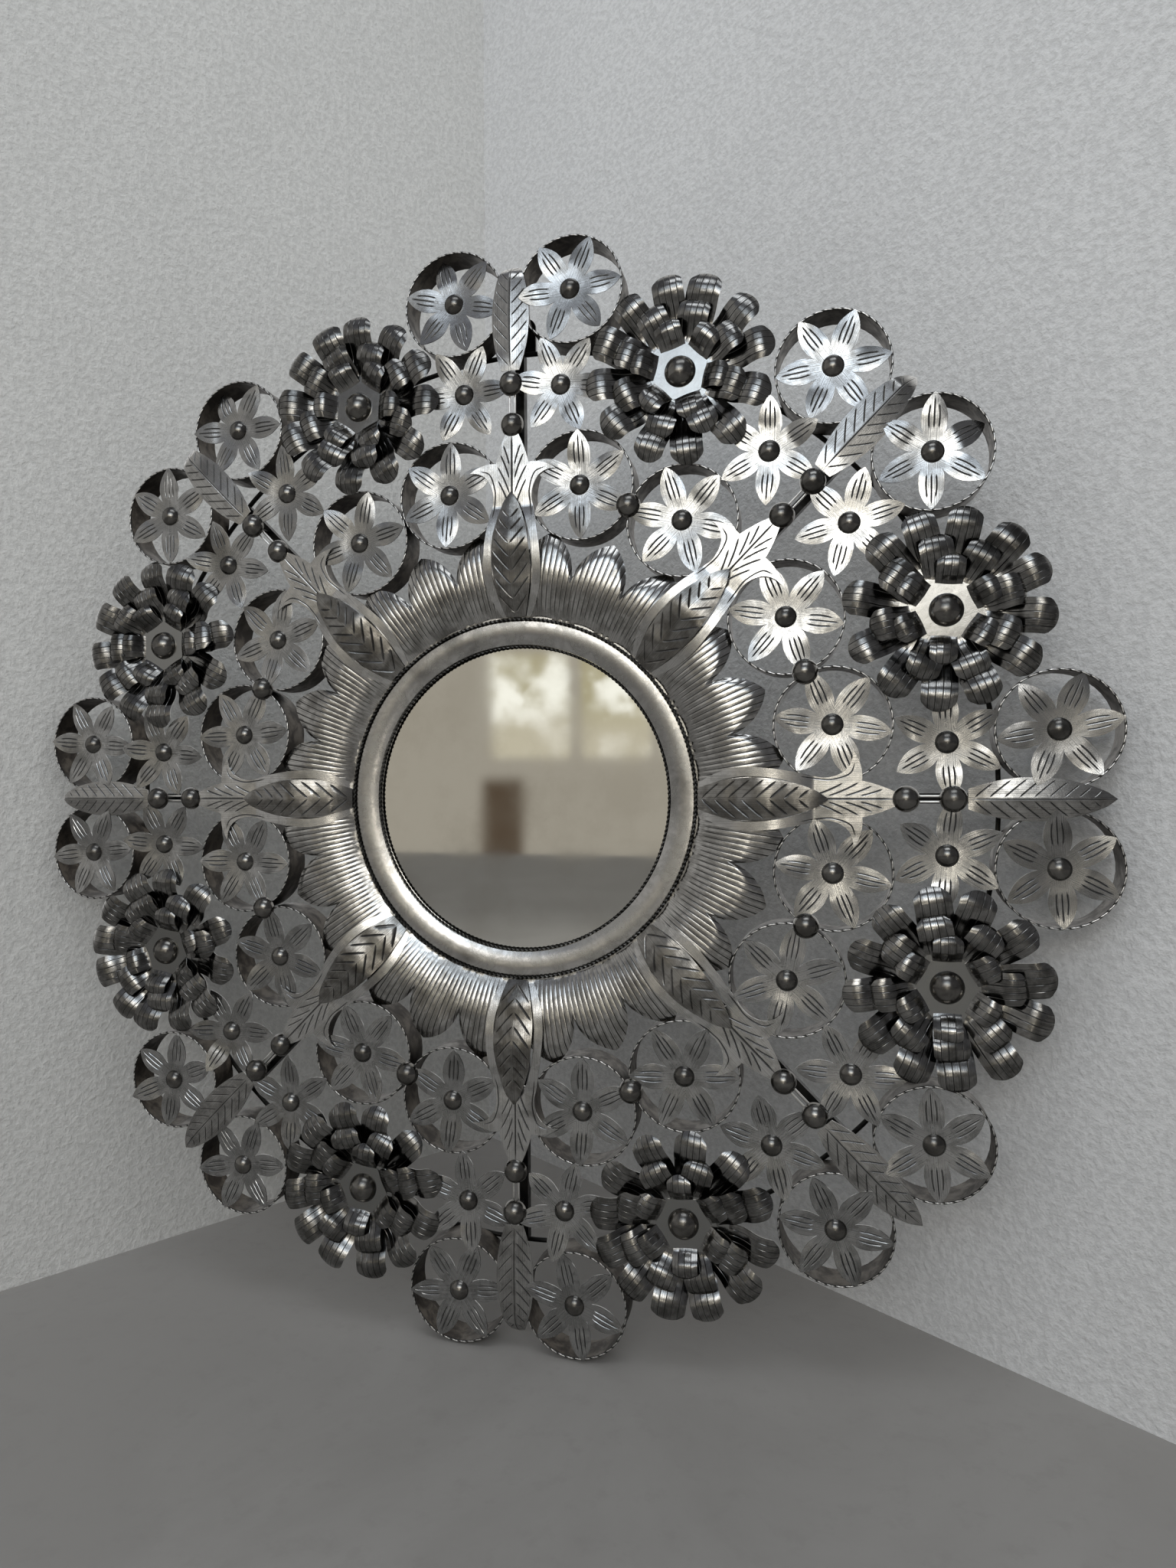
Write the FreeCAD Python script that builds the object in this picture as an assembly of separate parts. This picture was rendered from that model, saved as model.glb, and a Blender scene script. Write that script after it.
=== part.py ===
import FreeCAD, Part
import math
import os

# A round wall mirror in a wide wreath of tin flowers, built on eight steel spokes and a rod hoop.
# The origin is the mirror's axis on the wall. The front faces -Y, and +Z points up.
# Places are given as a radius and a clock angle from the top, and as a height in front of the wall.

Vector = FreeCAD.Vector

# Counts
spoke_count = 8
star_petal_count = 6
sheet_petal_count = 3
back_petal_count = 12
middle_petal_count = 8
top_petal_count = 6

# Steel frame
bar_size = 9.5
hoop_rod = 4.8
hoop_lap = 5.5
weld_tab_width = 12.7
weld_tab_thickness = 3.2
weld_tab_overhang = 8.0
tie_rod = 4.0
hanger_width = 30.0
hanger_height = 34.0
hanger_thickness = 3.2
hanger_hole_diameter = 10.0
hanger_edge = 15.0

# Mirror
sight_radius = 152.0
bezel_face_width = 24.0
glass_thickness = 3.0
backing_thickness = 9.5
pan_sheet = 1.0
pan_depth = 20.8
pan_flange = 8.0
glass_clearance = 0.5
bezel_sheet = 1.0
bezel_inner_height = 18.8
bezel_bulge = 1.6
inner_cord = 3.2
outer_cord = 4.0
cord_gap = 0.2

# Sheet metal and gaps between layers
tin_sheet = 0.8
palmette_sheet = 1.2
leaf_sheet = 1.0
layer_gap = 0.15
relief_gap = 0.4

# Collar of petals round the bezel: how far its valleys, its petals' widest places and its tips
# stand out from the pan
collar_valley_width = 46.0
collar_widest_width = 70.0
collar_width = 91.0
collar_bulge = 9.5
collar_tip_height = 28.4
collar_petal_angle = 14.0
collar_half_sheet_angle = 21.4
collar_side_angle = 5.2

# Ringed flowers
strip_sheet = 1.0
ring_depth = 31.8
rope = 2.2
inner_ring_offset = 139.0
inner_ring_half_gap = 13.95
ring_touch_gap = 0.13
outer_ring_radius = 53.0
outer_ring_half_spacing = 60.5
outer_ring_gap = 0.4

# Stars
star_waist_radius = 17.5
# Where a petal is widest, and how wide, as shares of the star's reach
star_widest_share = 0.638
star_petal_width_share = 0.422
star_flat_radius = 27.0
star_dish_radius = 13.0
star_dish = 3.0
open_star_reach = 50.0
open_star_tip_gap = 0.5
open_star_lap = 4.1
star_dome_diameter = 21.0
star_dome_height = 8.0

# Carnations, each of three petalled sheets
carnation_reach = 88.0
carnation_lap = 2.0
back_plate_radius = 44.0
back_petal_width = 30.0
back_crest = 5.0
middle_reach = 64.0
middle_plate_radius = 32.0
middle_petal_width = 26.0
middle_crest = 4.5
top_reach = 48.0
top_plate_radius = 24.0
top_petal_width = 23.0
top_crest = 3.6
petal_end_bow = 6.0
carnation_dome_diameter = 30.0
carnation_dome_height = 11.0
stem_diameter = 10.0

# Beads, posts and links on the spokes, and beads where two inner rings meet
bead_diameter = 24.0
bead_height = 10.0
outer_bead_offset = 5.2
bead_spacing = 39.8
post_diameter = 3.0
link_wire = 2.0
link_clearance = 0.1
junction_bead_offset = 3.5
missing_junction_bead = 7

# Leaves and palmettes on the spokes
inner_leaf_length = 122.0
inner_leaf_width = 40.0
inner_leaf_base_width = 20.0
inner_leaf_end_width = 15.0
inner_leaf_bulge = 13.0
inner_leaf_tip_height = 36.9
outer_leaf_tip_inset = 5.7
outer_leaf_width = 38.0
outer_leaf_base_width = 18.0
outer_leaf_end_width = 12.0
outer_leaf_bulge = 2.6
outer_leaf_bent_length = 22.0
outer_leaf_tip_drop = 9.0
palmette_half_reach = 44.5
palmette_end_gap = 7.2
palmette_arch_length = 108.0
palmette_bulge = 10.5

# Outline of half a palmette from its arm's foot, out round the curl and up to the feather's end:
# three points to an arc, as shares of its half reach and its length
palmette_outline_shares = [
    [(0.135, 0.000), (0.330, 0.000)],
    [(0.330, 0.000), (0.620, 0.159), (0.665, 0.308)],
    [(0.665, 0.308), (0.605, 0.440), (0.470, 0.600)],
    [(0.470, 0.600), (0.445, 0.665), (0.590, 0.751)],
    [(0.590, 0.751), (0.770, 0.780), (1.000, 0.786)],
    [(1.000, 0.786), (0.700, 0.824), (0.375, 0.831)],
    [(0.375, 0.831), (0.300, 0.897), (0.125, 1.000)],
    [(0.125, 1.000), (0.000, 1.000)],
]
# The inner edge of the arm, from the fork on the axis back to the foot, in the same shares
palmette_fork_shares = [
    [(0.000, 0.533), (0.240, 0.572)],
    [(0.240, 0.572), (0.415, 0.429), (0.472, 0.297)],
    [(0.472, 0.297), (0.425, 0.154), (0.135, 0.000)],
]
# Where a leaf is widest and where its end begins, as shares of its length
inner_leaf_shares = (0.42, 0.91)
outer_leaf_shares = (0.50, 0.93)
# How wide a petal's rounded end begins, as a share of its width
petal_end_share = 0.86

# Clock angle of one petal of each star, set by hand, left and right of each spoke from the top
inner_star_turns = [(4, 0), (-16, -20), (-23, -20), (11, 26), (1, 3), (-21, -13), (-28, 26), (12, 14)]
open_star_turns = [(27, -22), (3, 17), (-3, 4), (31, -15), (13, -8), (-3, 30), (-25, -23), (-19, -2)]
outer_star_turns = [(-17, 24), (24, 3), (21, -4), (-5, -22), (-13, 24), (24, 8), (25, -26), (0, 29)]
# Clock angle of one petal of each carnation's back, middle and top sheets, clockwise from the top
carnation_turns = [(-8, 20, -16), (9, 29, 5), (-8, 39, 0), (8, 20, -4),
                   (20, 33, 8), (9, 30, 10), (24, 40, 30), (6, 26, 35)]

# Overrun of every cutting or bounding body
overrun = 60.0

# Angles of the layout
spoke_angle = 360.0 / spoke_count
half_spoke_angle = spoke_angle / 2
sides = (-1, 1)

# Radii and heights worked out from the driving sizes
pan_radius = sight_radius + bezel_face_width
pan_flange_radius = pan_radius + pan_flange
glass_back = pan_sheet + backing_thickness
glass_front = glass_back + glass_thickness
glass_radius = pan_radius - pan_sheet - glass_clearance
inner_cord_circle = sight_radius + inner_cord / 2
bezel_inner_radius = sight_radius + inner_cord + cord_gap
collar_back = pan_depth
collar_front = collar_back + tin_sheet
bezel_outer_radius = pan_radius + 2 * bezel_sheet
outer_cord_circle = bezel_outer_radius + cord_gap + outer_cord / 2
collar_inner_radius = pan_radius + bezel_sheet / 2
collar_valley_radius = pan_radius + collar_valley_width
collar_widest_radius = pan_radius + collar_widest_width
collar_reach = pan_radius + collar_width
spray_base_radius = outer_cord_circle + outer_cord / 2 + cord_gap

# Each inner ring touches its neighbour half way between two spokes, and leaves a gap at its spoke
inner_ring_circle = pan_radius + inner_ring_offset
half_spoke_sin = math.sin(math.radians(half_spoke_angle))
fit_factor = 1 + math.cos(math.radians(half_spoke_angle))
fit_gap = inner_ring_half_gap - ring_touch_gap
fit_square = fit_factor ** 2 + half_spoke_sin ** 2
fit_rest = fit_square * ((half_spoke_sin * inner_ring_circle) ** 2 - fit_gap ** 2)
inner_ring_radius = ((math.sqrt((fit_factor * fit_gap) ** 2 + fit_rest) - fit_factor * fit_gap)
                     / fit_square - ring_touch_gap)
inner_ring_turn = math.degrees(math.asin((inner_ring_radius + ring_touch_gap) / inner_ring_circle))
inner_ring_angle = half_spoke_angle - inner_ring_turn
inner_ring_front = ring_depth
inner_star_back = inner_ring_front
inner_star_front = inner_star_back + tin_sheet
inner_star_reach = inner_ring_radius - rope / 2

inner_ring_x = inner_ring_circle * math.sin(math.radians(inner_ring_angle))
inner_ring_z = inner_ring_circle * math.cos(math.radians(inner_ring_angle))
open_star_x = open_star_reach + open_star_tip_gap
open_star_span = inner_ring_radius + open_star_reach - open_star_lap
open_star_z = inner_ring_z + math.sqrt(open_star_span ** 2 - (inner_ring_x - open_star_x) ** 2)

carnation_span = inner_ring_radius + carnation_reach - carnation_lap
ring_half_gap = inner_ring_radius + ring_touch_gap
carnation_circle = (inner_ring_circle * math.cos(math.radians(inner_ring_turn))
                    + math.sqrt(carnation_span ** 2 - ring_half_gap ** 2))
carnation_x = carnation_circle * math.sin(math.radians(half_spoke_angle))
carnation_z = carnation_circle * math.cos(math.radians(half_spoke_angle))
outer_ring_span = outer_ring_radius + carnation_reach + outer_ring_gap
outer_ring_x = outer_ring_half_spacing
outer_ring_z = carnation_z + math.sqrt(outer_ring_span ** 2 - (carnation_x - outer_ring_x) ** 2)
outer_ring_circle = math.hypot(outer_ring_x, outer_ring_z)
outer_ring_back = hoop_rod
outer_ring_front = outer_ring_back + ring_depth
outer_star_back = outer_ring_front
outer_star_front = outer_star_back + tin_sheet
outer_star_reach = outer_ring_radius - rope / 2
hoop_circle = outer_ring_circle - outer_ring_radius + hoop_lap

# The open stars lean back from the outer rings to the inner ones
lean_low_z = inner_ring_z + inner_ring_radius
lean_high_z = outer_ring_z - outer_ring_radius
open_star_lean = math.atan2(outer_star_front - inner_star_front, lean_high_z - lean_low_z)
open_star_back = (inner_star_front + layer_gap
                  + (open_star_z - lean_low_z) * math.tan(open_star_lean))

outer_bead_circle = open_star_z + outer_bead_offset
inner_bead_circle = outer_bead_circle - bead_spacing
outer_bead_back = (open_star_back + tin_sheet + layer_gap
                   + outer_bead_offset * math.tan(open_star_lean))
palmette_back = inner_star_front
palmette_front = palmette_back + palmette_sheet
inner_bead_back = palmette_front
junction_bead_back = inner_star_front
junction_bead_circle = (inner_ring_circle * math.cos(math.radians(inner_ring_turn))
                        - junction_bead_offset)
link_bend_radius = post_diameter / 2 + link_clearance + link_wire / 2
link_height = inner_bead_back - link_wire / 2

tab_back = hoop_rod
tab_front = tab_back + weld_tab_thickness
carnation_back = open_star_back + tin_sheet - back_crest
back_tip_height = outer_star_front + tin_sheet
middle_back = carnation_back + tin_sheet
top_back = middle_back + tin_sheet
middle_tip_height = back_tip_height + back_crest
top_tip_height = middle_tip_height + tin_sheet

outer_leaf_base_radius = outer_bead_circle + bead_diameter / 2
outer_leaf_tip_radius = outer_ring_z + outer_ring_radius - outer_leaf_tip_inset
outer_leaf_length = outer_leaf_tip_radius - outer_leaf_base_radius
palmette_length = inner_bead_circle - palmette_end_gap - spray_base_radius


def point(radius, height):
    """A point of a profile in the plane through the axis to the right."""
    return Vector(radius, -height, 0)


def across(x, z):
    """A point of an outline on the wall."""
    return Vector(x, 0, z)


def polar(radius, angle, height=0.0):
    """A point at a radius, a clock angle in degrees and a height in front of the wall."""
    turn = math.radians(angle)
    return Vector(radius * math.sin(turn), -height, radius * math.cos(turn))


def edge_through(points):
    """A straight edge through two points, or an arc through three."""
    if len(points) == 2:
        return Part.LineSegment(points[0], points[1]).toShape()
    return Part.Arc(points[0], points[1], points[2]).toShape()


def face_of(edges):
    return Part.Face(Part.Wire(Part.__sortEdges__(edges)))


def bulging_arc(start, end, bulge):
    """Three points of an arc whose middle stands off its chord by the bulge, away from the wall."""
    chord_r = end[0] - start[0]
    chord_h = end[1] - start[1]
    chord = math.hypot(chord_r, chord_h)
    middle = ((start[0] + end[0]) / 2 - bulge * chord_h / chord,
              (start[1] + end[1]) / 2 + bulge * chord_r / chord)
    return [start, middle, end]


def raised(path, rise):
    """The same path of (radius, height) points, further from the wall."""
    return [[(radius, height + rise) for radius, height in piece] for piece in path]


def sheet_section(path, sheet):
    """The section of a sheet that follows a path of lines and arcs at its back."""
    front = raised(path, sheet)
    edges = [edge_through([point(*place) for place in piece]) for piece in path + front]
    for end in (0, -1):
        low = path[end][end]
        high = front[end][end]
        edges.append(edge_through([point(*low), point(*high)]))
    return face_of(edges)


def turned_sheet(path, sheet):
    """A sheet of revolution about the axis through the origin."""
    return sheet_section(path, sheet).revolve(Vector(0, 0, 0), Vector(0, 1, 0), 360)


def blank(edges):
    """A block with an outline on the wall, deep enough to cut any sheet."""
    block = face_of(edges).extrude(Vector(0, -2 * overrun, 0))
    block.translate(Vector(0, overrun / 2, 0))
    return block


def turned(shape, angle):
    """A copy turned clockwise about the axis, as seen from the front."""
    copy = shape.copy()
    copy.rotate(Vector(0, 0, 0), Vector(0, 1, 0), angle)
    return copy


def moved(shape, place):
    copy = shape.copy()
    copy.translate(place)
    return copy


def disc(radius, back, front):
    return Part.makeCylinder(radius, front - back, Vector(0, -back, 0), Vector(0, -1, 0))


def washer(inner, outer, back, front):
    return disc(outer, back, front).cut(disc(inner, back - overrun, front + overrun))


def cord_ring(circle, thickness, height):
    """A round cord bent into a ring that lies parallel to the wall."""
    return Part.makeTorus(circle, thickness / 2, Vector(0, -height, 0), Vector(0, 1, 0))


def round_dome(diameter, height, back):
    """A shallow button: a cap of a ball on a flat back."""
    half = diameter / 2
    ball_radius = (half ** 2 + height ** 2) / (2 * height)
    centre = Vector(0, ball_radius - height - back, 0)
    ball = Part.makeSphere(ball_radius, centre)
    return ball.common(disc(diameter, back, back + 2 * height))


def petal_rosette(count, notch, side, width, reach, pointed):
    """The outline of a flat flower: pointed ovals, or straight petals with rounded ends."""
    edges = []
    step = 360.0 / count
    for number in range(count):
        angle = number * step
        valley = [polar(notch, angle - step / 2), polar(notch, angle + step / 2)]
        half_turn = math.degrees(math.atan2(width / 2, side))
        shoulder = math.hypot(side, width / 2)
        tip = polar(reach, angle)
        left = polar(shoulder, angle - half_turn)
        right = polar(shoulder, angle + half_turn)
        if pointed:
            edges.append(edge_through([valley[0], left, tip]))
            edges.append(edge_through([tip, right, valley[1]]))
        else:
            edges.append(edge_through([valley[0], left]))
            edges.append(edge_through([left, tip, right]))
            edges.append(edge_through([right, valley[1]]))
    return blank(edges)


def star(reach, back):
    """A six petalled flower with a dished middle: its flat petals lie at the height of its back."""
    dish = back - star_dish
    path = [
        [(0, dish), (star_dish_radius, dish)],
        bulging_arc((star_dish_radius, dish), (star_flat_radius, back), tin_sheet / 2),
        [(star_flat_radius, back), (reach + tin_sheet, back)],
    ]
    outline = petal_rosette(star_petal_count, star_waist_radius, star_widest_share * reach,
                            star_petal_width_share * reach, reach, True)
    return turned_sheet(path, tin_sheet).common(outline)


def carnation_sheet(count, plate, width, reach, back, tip_height, crest):
    """A flat plate whose petals rise from its edge, arch over and curl back at the tip."""
    path = [
        [(0, back), (plate, back)],
        bulging_arc((plate, back), (reach, tip_height), crest),
    ]
    outline = petal_rosette(count, plate, reach - petal_end_bow, width * petal_end_share,
                            reach - tin_sheet, False)
    return turned_sheet(path, tin_sheet).common(outline)


def leaf_blank(base_radius, length, widths, shares):
    """The outline of a leaf along the upper spoke, from the widths at its base, middle and end."""
    foot, half, end = (width / 2 for width in widths)
    widest, shoulder = (base_radius + share * length for share in shares)
    edges = [edge_through([across(-foot, base_radius), across(foot, base_radius)])]
    for side in sides:
        edges.append(edge_through([across(side * foot, base_radius), across(side * half, widest),
                                   across(side * end, shoulder)]))
        edges.append(edge_through([across(side * end, shoulder),
                                   across(0, base_radius + length)]))
    return blank(edges)


def all_round(shape):
    """Copies of what stands on the upper spoke, one for each spoke, clockwise from the top."""
    return [turned(shape, number * spoke_angle) for number in range(spoke_count)]


def flower_places(x, z, height):
    """Spoke number, side and place of the flowers that stand in pairs beside each spoke."""
    places = []
    for number in range(spoke_count):
        for side_number, side in enumerate(sides):
            angle = number * spoke_angle
            clock = angle + math.degrees(math.atan2(side * x, z))
            places.append((number, side_number, clock, polar(math.hypot(x, z), clock, height)))
    return places


def spoke_bars():
    """Square bars welded between the mirror's pan and the hoop."""
    hoop_inside = hoop_circle - hoop_rod / 2
    length = math.sqrt(hoop_inside ** 2 - (bar_size / 2) ** 2) - pan_radius
    bar = Part.makeBox(bar_size, bar_size, length,
                       Vector(-bar_size / 2, -bar_size, pan_radius))
    return all_round(bar)


def outer_hoop():
    return cord_ring(hoop_circle, hoop_rod, hoop_rod / 2)


def hanger_plate():
    """A tab welded on top of the hoop, with a hole that hangs on a screw's head."""
    low = hoop_circle + hoop_rod / 2
    plate = Part.makeBox(hanger_width, hanger_thickness, hanger_height,
                         Vector(-hanger_width / 2, -hanger_thickness, low))
    corners = [edge for edge in plate.Edges
               if abs(edge.BoundBox.ZMin - low - hanger_height) < tin_sheet / 2
               and edge.BoundBox.XLength < tin_sheet]
    plate = plate.makeFillet(hanger_width / 3, corners)
    hole = Part.makeCylinder(hanger_hole_diameter / 2, 2 * overrun,
                             Vector(0, overrun, low + hanger_height - hanger_edge),
                             Vector(0, -1, 0))
    return plate.cut(hole)


def carnation_tabs():
    """Flat tabs on the hoop that carry the carnations' stems."""
    outer = hoop_circle + hoop_rod
    inner = carnation_circle - weld_tab_overhang
    tab = Part.makeBox(weld_tab_width, weld_tab_thickness, outer - inner,
                       Vector(-weld_tab_width / 2, -tab_front, inner))
    return [turned(piece, half_spoke_angle) for piece in all_round(tab)]


def carnation_stems():
    stem = disc(stem_diameter / 2, tab_front, carnation_back)
    return at_carnations(stem)


def ring_ties():
    """Short rods that join the inner rings to the bars beside them."""
    gap = inner_ring_x - inner_ring_radius + rope / 2 - bar_size / 2 - strip_sheet / 2
    ties = []
    for side in sides:
        start = Vector(side * bar_size / 2, -bar_size / 2, inner_ring_z)
        ties.append(Part.makeCylinder(tie_rod / 2, gap, start, Vector(side, 0, 0)))
    return [copy for tie in ties for copy in all_round(tie)]


def mirror_pan():
    """A shallow round tray with a flange that carries the bezel, the collar and the cords."""
    back = disc(pan_radius, 0, pan_sheet)
    wall = washer(pan_radius - pan_sheet, pan_radius, 0, pan_depth)
    flange = washer(pan_radius - pan_sheet, pan_flange_radius, pan_depth - pan_sheet, pan_depth)
    return back.fuse(wall).fuse(flange).removeSplitter()


def bezel_band():
    """A convex ring of sheet over the glass's edge, with a lip that holds the glass."""
    lip = bezel_inner_radius + bezel_sheet
    outside = [(bezel_inner_radius, bezel_inner_height),
               (bezel_outer_radius, collar_front + bezel_sheet)]
    inside = [(lip, bezel_inner_height - bezel_sheet), (bezel_outer_radius, collar_front)]
    edges = [edge_through([point(*place) for place in bulging_arc(start, end, bezel_bulge)])
             for start, end in (outside, inside)]
    for start, end in (((bezel_inner_radius, glass_front), outside[0]),
                       ((lip, glass_front), inside[0]),
                       ((bezel_inner_radius, glass_front), (lip, glass_front)),
                       (outside[1], inside[1])):
        edges.append(edge_through([point(*start), point(*end)]))
    return face_of(edges).revolve(Vector(0, 0, 0), Vector(0, 1, 0), 360)


def collar_path():
    start = (pan_flange_radius, collar_back)
    end = (collar_reach + tin_sheet, collar_tip_height)
    return [
        [(collar_inner_radius, collar_back), start],
        bulging_arc(start, end, collar_bulge),
    ]


def collar_sheets():
    """Curved sheets round the bezel, three pointed petals each, one sheet between two spokes."""
    half_sheet = collar_half_sheet_angle
    edges = [edge_through([polar(collar_inner_radius, -half_sheet), polar(collar_inner_radius, 0),
                           polar(collar_inner_radius, half_sheet)])]
    for side in sides:
        edges.append(edge_through([polar(collar_inner_radius, side * half_sheet),
                                   polar(collar_valley_radius, side * half_sheet)]))
    half_petal = collar_petal_angle / 2
    for number in range(sheet_petal_count):
        middle = (number - (sheet_petal_count - 1) / 2) * collar_petal_angle
        tip = polar(collar_reach, middle)
        for side in sides:
            foot = middle + side * half_petal
            if abs(foot) > collar_petal_angle:
                foot = side * half_sheet
            edges.append(edge_through([polar(collar_valley_radius, foot),
                                       polar(collar_widest_radius, middle + side * collar_side_angle),
                                       tip]))
    sheet = turned_sheet(collar_path(), tin_sheet).common(blank(edges))
    return [turned(piece, half_spoke_angle) for piece in all_round(sheet)]


def palmettes():
    """Scrolled arms that spread from the bezel, over the collar, to a feather on the spoke."""
    edges = []
    for piece in palmette_outline_shares + palmette_fork_shares:
        for side in sides:
            edges.append(edge_through([across(side * x * palmette_half_reach,
                                              spray_base_radius + z * palmette_length)
                                       for x, z in piece]))
    base_height = collar_front + relief_gap
    start = (pan_flange_radius, base_height)
    end = (spray_base_radius + palmette_arch_length, palmette_back)
    path = [
        [(spray_base_radius, base_height), start],
        bulging_arc(start, end, palmette_bulge),
        [end, (spray_base_radius + 2 * palmette_length, palmette_back)],
    ]
    return all_round(turned_sheet(path, palmette_sheet).common(blank(edges)))


def inner_leaves():
    """Pointed leaves that arch from the bezel over the palmettes' arms."""
    start = (spray_base_radius, collar_front + relief_gap + palmette_sheet + leaf_sheet)
    end = (spray_base_radius + inner_leaf_length, inner_leaf_tip_height)
    path = [bulging_arc(start, end, inner_leaf_bulge)]
    widths = (inner_leaf_base_width, inner_leaf_width, inner_leaf_end_width)
    outline = leaf_blank(spray_base_radius, inner_leaf_length, widths, inner_leaf_shares)
    return all_round(turned_sheet(path, leaf_sheet).common(outline))


def outer_leaves():
    """Pointed leaves on the outer ends of the spokes, with the tip bent back."""
    bend = outer_leaf_tip_radius - outer_leaf_bent_length
    base_height = outer_star_front + tin_sheet
    bend_height = outer_star_front + layer_gap
    path = [
        bulging_arc((outer_leaf_base_radius, base_height), (bend, bend_height), outer_leaf_bulge),
        bulging_arc((bend, bend_height), (outer_leaf_tip_radius, bend_height - outer_leaf_tip_drop),
                    tin_sheet),
    ]
    widths = (outer_leaf_base_width, outer_leaf_width, outer_leaf_end_width)
    outline = leaf_blank(outer_leaf_base_radius, outer_leaf_length, widths, outer_leaf_shares)
    return all_round(turned_sheet(path, leaf_sheet).common(outline))


def strip_rings(radius, x, z, back):
    """Rings of strip on edge."""
    outer = radius - rope / 2 + strip_sheet / 2
    ring = washer(outer - strip_sheet, outer, 0, ring_depth - rope)
    return [moved(ring, place) for number, side, clock, place in flower_places(x, z, back)]


def rope_rings(radius, x, z, back):
    """The twisted wire along a ring's front edge, as a plain round ring."""
    ring = cord_ring(radius - rope / 2, rope, ring_depth - rope / 2)
    return [moved(ring, place) for number, side, clock, place in flower_places(x, z, back)]


def ringed_stars(reach, x, z, back, turns):
    flower = star(reach, back)
    return [moved(turned(flower, turns[number][side]), place)
            for number, side, clock, place in flower_places(x, z, 0)]


def leaned(shape, clock):
    """Tipped about its middle so that the side away from the mirror stands further forward."""
    axis = polar(1, clock + 90)
    shape.rotate(Vector(0, 0, 0), axis, math.degrees(open_star_lean))
    return shape


def open_stars():
    """Stars with no ring, which lean on the rings and clear the beads' posts."""
    flower = star(open_star_reach, 0)
    post = Part.makeCylinder(post_diameter / 2 + link_clearance, 2 * overrun,
                             Vector(0, overrun, outer_bead_circle), Vector(0, -1, 0))
    posts = all_round(post)
    stars = []
    for number, side, clock, place in flower_places(open_star_x, open_star_z, open_star_back):
        tipped = leaned(turned(flower, open_star_turns[number][side]), clock)
        stars.append(moved(tipped, place).cut(posts[number]))
    return stars


def star_domes():
    domes = []
    for x, z, back in ((inner_ring_x, inner_ring_z, inner_star_back),
                       (outer_ring_x, outer_ring_z, outer_star_back)):
        dome = round_dome(star_dome_diameter, star_dome_height, tin_sheet - star_dish)
        domes += [moved(dome, place) for number, side, clock, place in flower_places(x, z, back)]
    for number, side, clock, place in flower_places(open_star_x, open_star_z, open_star_back):
        dome = round_dome(star_dome_diameter, star_dome_height, tin_sheet - star_dish)
        domes.append(moved(leaned(dome, clock), place))
    return domes


def at_carnations(shape):
    place = polar(carnation_circle, half_spoke_angle)
    return all_round(moved(shape, place))


def carnation_layers():
    """The back, middle and top sheets of the carnations, by node name."""
    back = carnation_sheet(back_petal_count, back_plate_radius, back_petal_width, carnation_reach,
                           carnation_back, back_tip_height, back_crest)
    middle = carnation_sheet(middle_petal_count, middle_plate_radius, middle_petal_width,
                             middle_reach, middle_back, middle_tip_height, middle_crest)
    top = carnation_sheet(top_petal_count, top_plate_radius, top_petal_width, top_reach,
                          top_back, top_tip_height, top_crest)
    layers = {}
    names = ("carnation_back_petals", "carnation_middle_petals", "carnation_top_petals")
    for layer, (name, sheet) in enumerate(zip(names, (back, middle, top))):
        layers[name] = [moved(turned(sheet, turns[layer]),
                              polar(carnation_circle, half_spoke_angle + number * spoke_angle))
                        for number, turns in enumerate(carnation_turns)]
    return layers


def spoke_beads():
    """Two buttons on each spoke: the outer one lies on the open stars' tips and leans with them."""
    inner = round_dome(bead_diameter, bead_height, inner_bead_back)
    outer = leaned(round_dome(bead_diameter, bead_height, 0), 0)
    beads = all_round(moved(inner, across(0, inner_bead_circle)))
    beads += all_round(moved(outer, Vector(0, -outer_bead_back, outer_bead_circle)))
    return beads


def bead_posts():
    posts = []
    lean_drop = post_diameter * math.tan(open_star_lean)
    for circle, top in ((inner_bead_circle, inner_bead_back),
                        (outer_bead_circle, outer_bead_back - lean_drop)):
        post = moved(disc(post_diameter / 2, bar_size, top), across(0, circle))
        posts += all_round(post)
    return posts


def spoke_links():
    """A wire link looped over the two posts of a spoke."""
    wires = [Part.makeCylinder(link_wire / 2, bead_spacing,
                               across(side * link_bend_radius, inner_bead_circle))
             for side in sides]
    bends = []
    for circle, way in ((inner_bead_circle, -1), (outer_bead_circle, 1)):
        ring = Part.makeTorus(link_bend_radius, link_wire / 2, across(0, circle), Vector(0, 1, 0))
        half = Part.makeBox(overrun, overrun, overrun,
                            Vector(-overrun / 2, -overrun / 2, circle - (way < 0) * overrun))
        bends.append(ring.common(half))
    link = wires[0].multiFuse([wires[1]] + bends).removeSplitter()
    return all_round(moved(link, Vector(0, -link_height, 0)))


def junction_beads():
    """Buttons where two inner rings meet. One was lost, and its place is empty."""
    bead = round_dome(bead_diameter, bead_height, junction_bead_back)
    place = polar(junction_bead_circle, half_spoke_angle)
    beads = all_round(moved(bead, place))
    return [bead for number, bead in enumerate(beads) if number != missing_junction_bead]


def export(name, shapes):
    """Writes one node, as one solid or as a group of separate solids."""
    shape = shapes[0] if len(shapes) == 1 else Part.makeCompound(shapes)
    for solid in shape.Solids:
        if not solid.isValid():
            print("not valid:", name)
    print(name, len(shape.Solids), "solids, volume", round(shape.Volume))
    shape.exportStep("parts/" + name + ".step")


def numbered(name, shapes):
    """One node for each copy, numbered clockwise from the top."""
    return {name + "_" + str(number + 1): [shape] for number, shape in enumerate(shapes)}


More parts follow.
